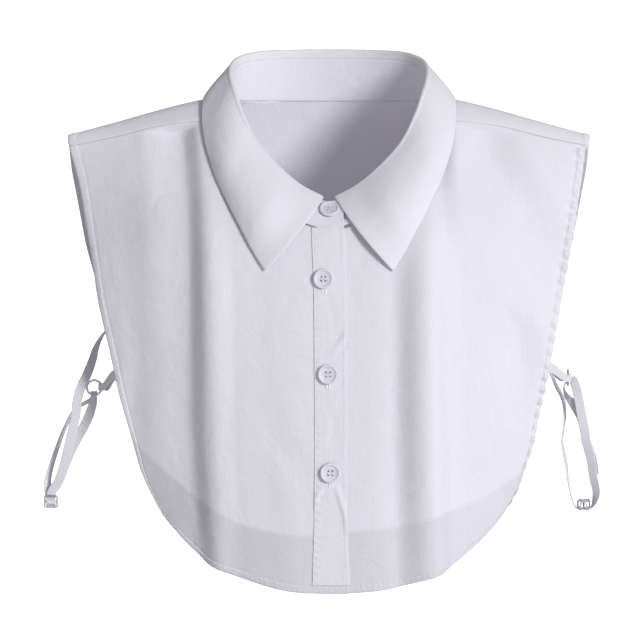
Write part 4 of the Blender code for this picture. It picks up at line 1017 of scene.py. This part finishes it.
def elastic_band(name, node, track, flats, widths, thick):
    """Flat closed band with ribs along it, on a path with a flat side at each place."""
    heading = np.gradient(track, axis=0)
    heading /= np.linalg.norm(heading, axis=1, keepdims=True)
    sides = flats - heading * np.sum(flats * heading, axis=1, keepdims=True)
    sides /= np.linalg.norm(sides, axis=1, keepdims=True)
    faces_out = np.cross(heading, sides)
    shares = np.linspace(-1, 1, 29)
    ribs = 0.86 + 0.14 * np.cos(shares * ELASTIC_WIDTH / ELASTIC_RIB * math.pi)
    round_edge = np.sqrt(np.maximum(1.0 - np.clip((np.abs(shares) - 0.9) / 0.1, 0, 1) ** 2, 0.02))
    loop = [(share, rib * edge) for share, rib, edge in zip(shares, ribs, round_edge)]
    loop += [(share, -height) for share, height in loop[::-1]]
    points = np.stack([
        track + sides * (share * widths / 2)[:, None] + faces_out * (height * thick / 2)
        for share, height in loop], axis=1)
    count, around = points.shape[:2]
    index = np.arange(count * around).reshape(count, around)
    following = np.roll(index, -1, axis=1)
    faces = np.stack([index[:-1], index[1:], following[1:], following[:-1]], axis=-1)
    faces = faces.reshape(-1, 4).tolist() + [index[0].tolist(), index[-1, ::-1].tolist()]
    band = add_object(name, points.reshape(-1, 3), faces, elastic)
    way = np.concatenate([[0.0], np.cumsum(np.linalg.norm(np.diff(track, axis=0), axis=1))])
    flat = np.zeros((count, around, 3))
    flat[..., 0] = np.array([share * ELASTIC_WIDTH / 2 for share, _ in loop])
    flat[..., 1] = way[:, None]
    place = band.data.attributes.new("cut_place", "FLOAT_VECTOR", "POINT")
    place.data.foreach_set("vector", (flat * MM).ravel())
    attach(band, "root")
    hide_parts(node)


for name, node, rows in (
        ("strap_wearers_right", "strap_right", STRAP_RIGHT),
        ("strap_wearers_left", "strap_left", STRAP_LEFT)):
    length = np.linalg.norm(np.diff(np.array(rows)[:, :3], axis=0), axis=1).sum()
    track = along(rows, np.linspace(0, 1, int(length / 0.9)))
    turns = np.radians(track[:, 3])
    flats = np.stack([np.cos(turns), np.sin(turns), np.zeros(len(turns))], axis=1)
    elastic_band(name, node, track[:, :3], flats, track[:, 4], ELASTIC_THICK)

for name, anchor, wire in TABS:
    anchor, wire = np.array(anchor), np.array(wire)
    if anchor[0] < 0:
        hem_edge, hem_out = right_middle[0], right_outward[0]
    else:
        hem_edge, hem_out = left_middle[-1], left_outward[-1]
    row = np.argmin(np.abs(hem_edge[:, 2] - anchor[2]))
    anchor = hem_edge[row] - hem_out[row] * 0.5 - [0.8 * np.sign(anchor[0]), 0.0, 0.0]
    ahead = (wire - anchor) * [1.0, 1.0, 0.0]
    ahead /= np.linalg.norm(ahead)
    aside = np.array([-ahead[1], ahead[0], 0.0])
    closed = TAB_THICK / 2 + 0.1
    rows = []
    for part in (0.0, 0.3, 0.6, 0.82, 0.94):
        spread = closed + (TAB_REACH - closed) * ease(part)
        spot = anchor + (wire - anchor) * [part, part, ease(part / 0.9)]
        rows.append((spot, spread, TAB_SEWN + (TAB_GATHERED - TAB_SEWN) * ease(part)))
    table = [(*(spot + aside * spread), width) for spot, spread, width in rows]
    for turn in np.radians([60, 0, -60]):
        round_wire = wire + ahead * TAB_REACH * math.cos(turn) + aside * TAB_REACH * math.sin(turn)
        table.append((*round_wire, TAB_GATHERED))
    table += [(*(spot - aside * spread), width) for spot, spread, width in rows[::-1]]
    track = along(table, np.linspace(0, 1, 90))
    upright = np.tile([0.0, 0.0, 1.0], (len(track), 1))
    elastic_band(name + "_folded", name, track[:, :3], upright, track[:, 3], TAB_THICK)


# The rings and sliders.
# Small lingerie rings and sliders moulded in clear plastic. The ring hangs in its tab and the
# strap runs round it; the slider holds the strap's two layers.

# Ring: centre, axis it stands across.
RINGS = [("ring_right", (-152.6, -8.4, -175.2), "Y"), ("ring_left", (155.4, -8.4, -168.6), "X")]
RING_MAJOR = 4.8
RING_WIRE = 0.8
# Slider: centre, axis it stands across, how far its front edge hangs down in degrees.
SLIDERS = [
    ("slider_right", (-181.0, -5.0, -250.0), "Y", 0),
    ("slider_left", (165.8, -3.0, -252.1), "Z", 36),
]
# A slider is two rounded loops side by side: half their length, half their width, the outline's
# squareness and the rod's two half thicknesses.
SLIDER_HALF_LONG = 4.1
SLIDER_STEP = 1.9
SLIDER_SQUARE = 0.42
SLIDER_ROD = (0.62, 1.3)

# Moulded clear nylon: glassy with a faint milky cast and slight flow lines from the mould.
clear, clear_shader, flow = clouded(
    "nylon_clear_injection_moulded", 2.5, 2.0, "#A9ABB4", "#CDCED6")
flow_bump = add_node(clear.node_tree, "ShaderNodeBump", {}, {
    "Strength": 0.3, "Distance": 0.1 * MM, "Height": flow.outputs[0]})
clear.node_tree.links.new(flow_bump.outputs[0], clear_shader.inputs["Normal"])
clear_shader.inputs["Roughness"].default_value = 0.14
clear_shader.inputs["IOR"].default_value = 1.5
clear_shader.inputs["Transmission Weight"].default_value = 0.5


def moulded(name, node, points, faces, centre, axis, hang=0):
    """Places a small moulding drawn about +Z so that it stands across the given axis."""
    swap = {"X": [[0, 0, 1], [0, 1, 0], [-1, 0, 0]], "Y": [[1, 0, 0], [0, 0, -1], [0, 1, 0]],
            "Z": [[0, -1, 0], [1, 0, 0], [0, 0, 1]]}[axis]
    dip, rise = math.cos(math.radians(hang)), math.sin(math.radians(hang))
    tip = np.array([[1, 0, 0], [0, dip, -rise], [0, rise, dip]])
    points = np.array(points) @ np.array(swap, float).T @ tip.T + np.array(centre)
    piece = add_object(name, points, faces, clear)
    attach(piece, "root")
    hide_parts(node)


def loop_faces(first, rings, around):
    """Faces of a rod closed on itself, whose points run ring after ring."""
    index = first + np.arange(rings * around).reshape(rings, around)
    ahead = np.roll(index, -1, axis=0)
    faces = [index, ahead, np.roll(ahead, -1, axis=1), np.roll(index, -1, axis=1)]
    return np.stack(faces, axis=-1).reshape(-1, 4).tolist()


def powered(value, power):
    """A power that keeps the value's sign."""
    return math.copysign(abs(value) ** power, value)


for name, centre, axis in RINGS:
    points = []
    for turn in np.arange(56) * 2 * math.pi / 56:
        for part in np.arange(14) * 2 * math.pi / 14:
            reach = RING_MAJOR + RING_WIRE * math.cos(part)
            points.append(
                (reach * math.cos(turn), reach * math.sin(turn), RING_WIRE * math.sin(part)))
    moulded(name + "_moulded", name, points, loop_faces(0, 56, 14), centre, axis)

for name, centre, axis, hang in SLIDERS:
    points, faces = [], []
    for middle_y in (-SLIDER_STEP, SLIDER_STEP):
        faces += loop_faces(len(points), 64, 10)
        for turn in np.arange(64) * 2 * math.pi / 64:
            spot = np.array([
                SLIDER_HALF_LONG * powered(math.cos(turn), SLIDER_SQUARE),
                SLIDER_STEP * powered(math.sin(turn), SLIDER_SQUARE) + middle_y, 0.0])
            out = np.array([powered(math.cos(turn), 1.2), powered(math.sin(turn), 1.2), 0.0])
            out /= np.linalg.norm(out)
            for part in np.arange(10) * 2 * math.pi / 10:
                points.append(spot + out * SLIDER_ROD[0] * math.cos(part)
                              + np.array([0, 0, SLIDER_ROD[1] * math.sin(part)]))
    moulded(name + "_moulded", name, points, faces, centre, axis, hang)


# The floor, the light and the camera.
# A white sweep with soft light from the upper right, as for a catalogue photograph.

# The sweep is a closed bowl that only the lens sees: radius and height of its rings in metres.
SWEEP = [(40.0, 0.0), (49.0, 3.0), (54.0, 10.0), (56.0, 60.0), (30.0, 90.0)]
SWEEP_STEPS = 48
FLOOR_BELOW = 0.75

sweep = [spot for radius, height in SWEEP for spot in circle(radius, SWEEP_STEPS, 0.0, 0.0, height)]
floor_mesh = bpy.data.meshes.new("white_sweep")
floor_mesh.from_pydata(sweep, [], tube_faces(0, len(SWEEP), SWEEP_STEPS))
floor = bpy.data.objects.new("white_sweep", floor_mesh)
floor.location = (0, 0, -FLOOR_BELOW)
bpy.context.scene.collection.objects.link(floor)
# White paper, lit from end to end, so it gives the eye nothing but white.
paper = bpy.data.materials.new("white_paper_sweep_lit")
paper.use_nodes = True
paper_shader = paper.node_tree.nodes["Principled BSDF"]
paper_shader.inputs["Base Color"].default_value = linear("#FFFFFF")
paper_shader.inputs["Emission Color"].default_value = linear("#FFFFFF")
paper_shader.inputs["Emission Strength"].default_value = 1.0
floor_mesh.materials.append(paper)
floor.visible_diffuse = False
floor.visible_glossy = False
floor.visible_shadow = False

world = bpy.data.worlds.new("white_studio")
bpy.context.scene.world = world
world.use_nodes = True
around = world.node_tree
looking = add_node(around, "ShaderNodeTexCoord")
heading = add_node(around, "ShaderNodeSeparateXYZ", {}, {0: looking.outputs["Generated"]})
# The studio is brighter to the right and near its white floor, and white behind the collar.
sideways = add_node(around, "ShaderNodeMapRange", {"interpolation_type": "SMOOTHSTEP"}, {
    "Value": heading.outputs["X"], "From Min": -0.9, "From Max": 0.9, "To Min": 0.41, "To Max": 0.49})
lift = add_node(around, "ShaderNodeMapRange", {"interpolation_type": "SMOOTHSTEP"}, {
    "Value": heading.outputs["Z"], "From Min": -0.8, "From Max": 0.8, "To Min": 1.25, "To Max": 0.72})
overhead = add_node(around, "ShaderNodeMath", {"operation": "MULTIPLY"}, {
    0: sideways.outputs[0], 1: lift.outputs[0]})
behind = add_node(around, "ShaderNodeMapRange", {"interpolation_type": "SMOOTHSTEP"}, {
    "Value": heading.outputs["Y"], "From Min": 0.97, "From Max": 0.985, "To Min": 0.0, "To Max": 1.0})
level = add_node(around, "ShaderNodeMath", {"operation": "MAXIMUM"}, {
    0: overhead.outputs[0], 1: behind.outputs[0]})
sky = around.nodes["Background"]
sky.inputs["Color"].default_value = linear("#FEFDFF")
around.links.new(level.outputs[0], sky.inputs["Strength"])

# The key is a broad soft source in front, to the right and a little above.
KEY_TO_RIGHT = math.radians(38.0)
KEY_UP = math.radians(14.0)
key = bpy.data.lights.new("key_softbox_right", "SUN")
key.energy = 2.22
key.angle = math.radians(17.0)
key.color = linear("#FFFFFF")[:3]
key_lamp = bpy.data.objects.new("key_softbox_right", key)
key_lamp.rotation_euler = (math.pi / 2 - KEY_UP, 0.0, KEY_TO_RIGHT)
bpy.context.scene.collection.objects.link(key_lamp)

# A long lens from a little above, with the width that it sees at the collar, in metres, and the
# place that it looks at: x and height in the picture.
CAMERA_DISTANCE = 12.0
CAMERA_RISE = math.radians(5.0)
VIEW_WIDTH = 0.416
SENSOR = 36.0
AIM_X = -5.85
AIM_HEIGHT = -131.3
camera_data = bpy.data.cameras.new("catalogue_camera")
camera = bpy.data.objects.new("catalogue_camera", camera_data)
camera_data.lens = SENSOR * CAMERA_DISTANCE / VIEW_WIDTH
camera_data.clip_end = 200.0
back_way = np.array([0.0, -math.cos(CAMERA_RISE), math.sin(CAMERA_RISE)])
upward = np.array([0.0, math.sin(CAMERA_RISE), math.cos(CAMERA_RISE)])
camera.location = (
    np.array([AIM_X * MM, 0.0, 0.0]) + upward * AIM_HEIGHT * MM + back_way * CAMERA_DISTANCE)
camera.rotation_euler = (math.pi / 2 - CAMERA_RISE, 0.0, 0.0)
bpy.context.scene.collection.objects.link(camera)
bpy.context.scene.camera = camera
bpy.context.scene.view_settings.view_transform = "Standard"
bpy.context.scene.view_settings.look = "None"
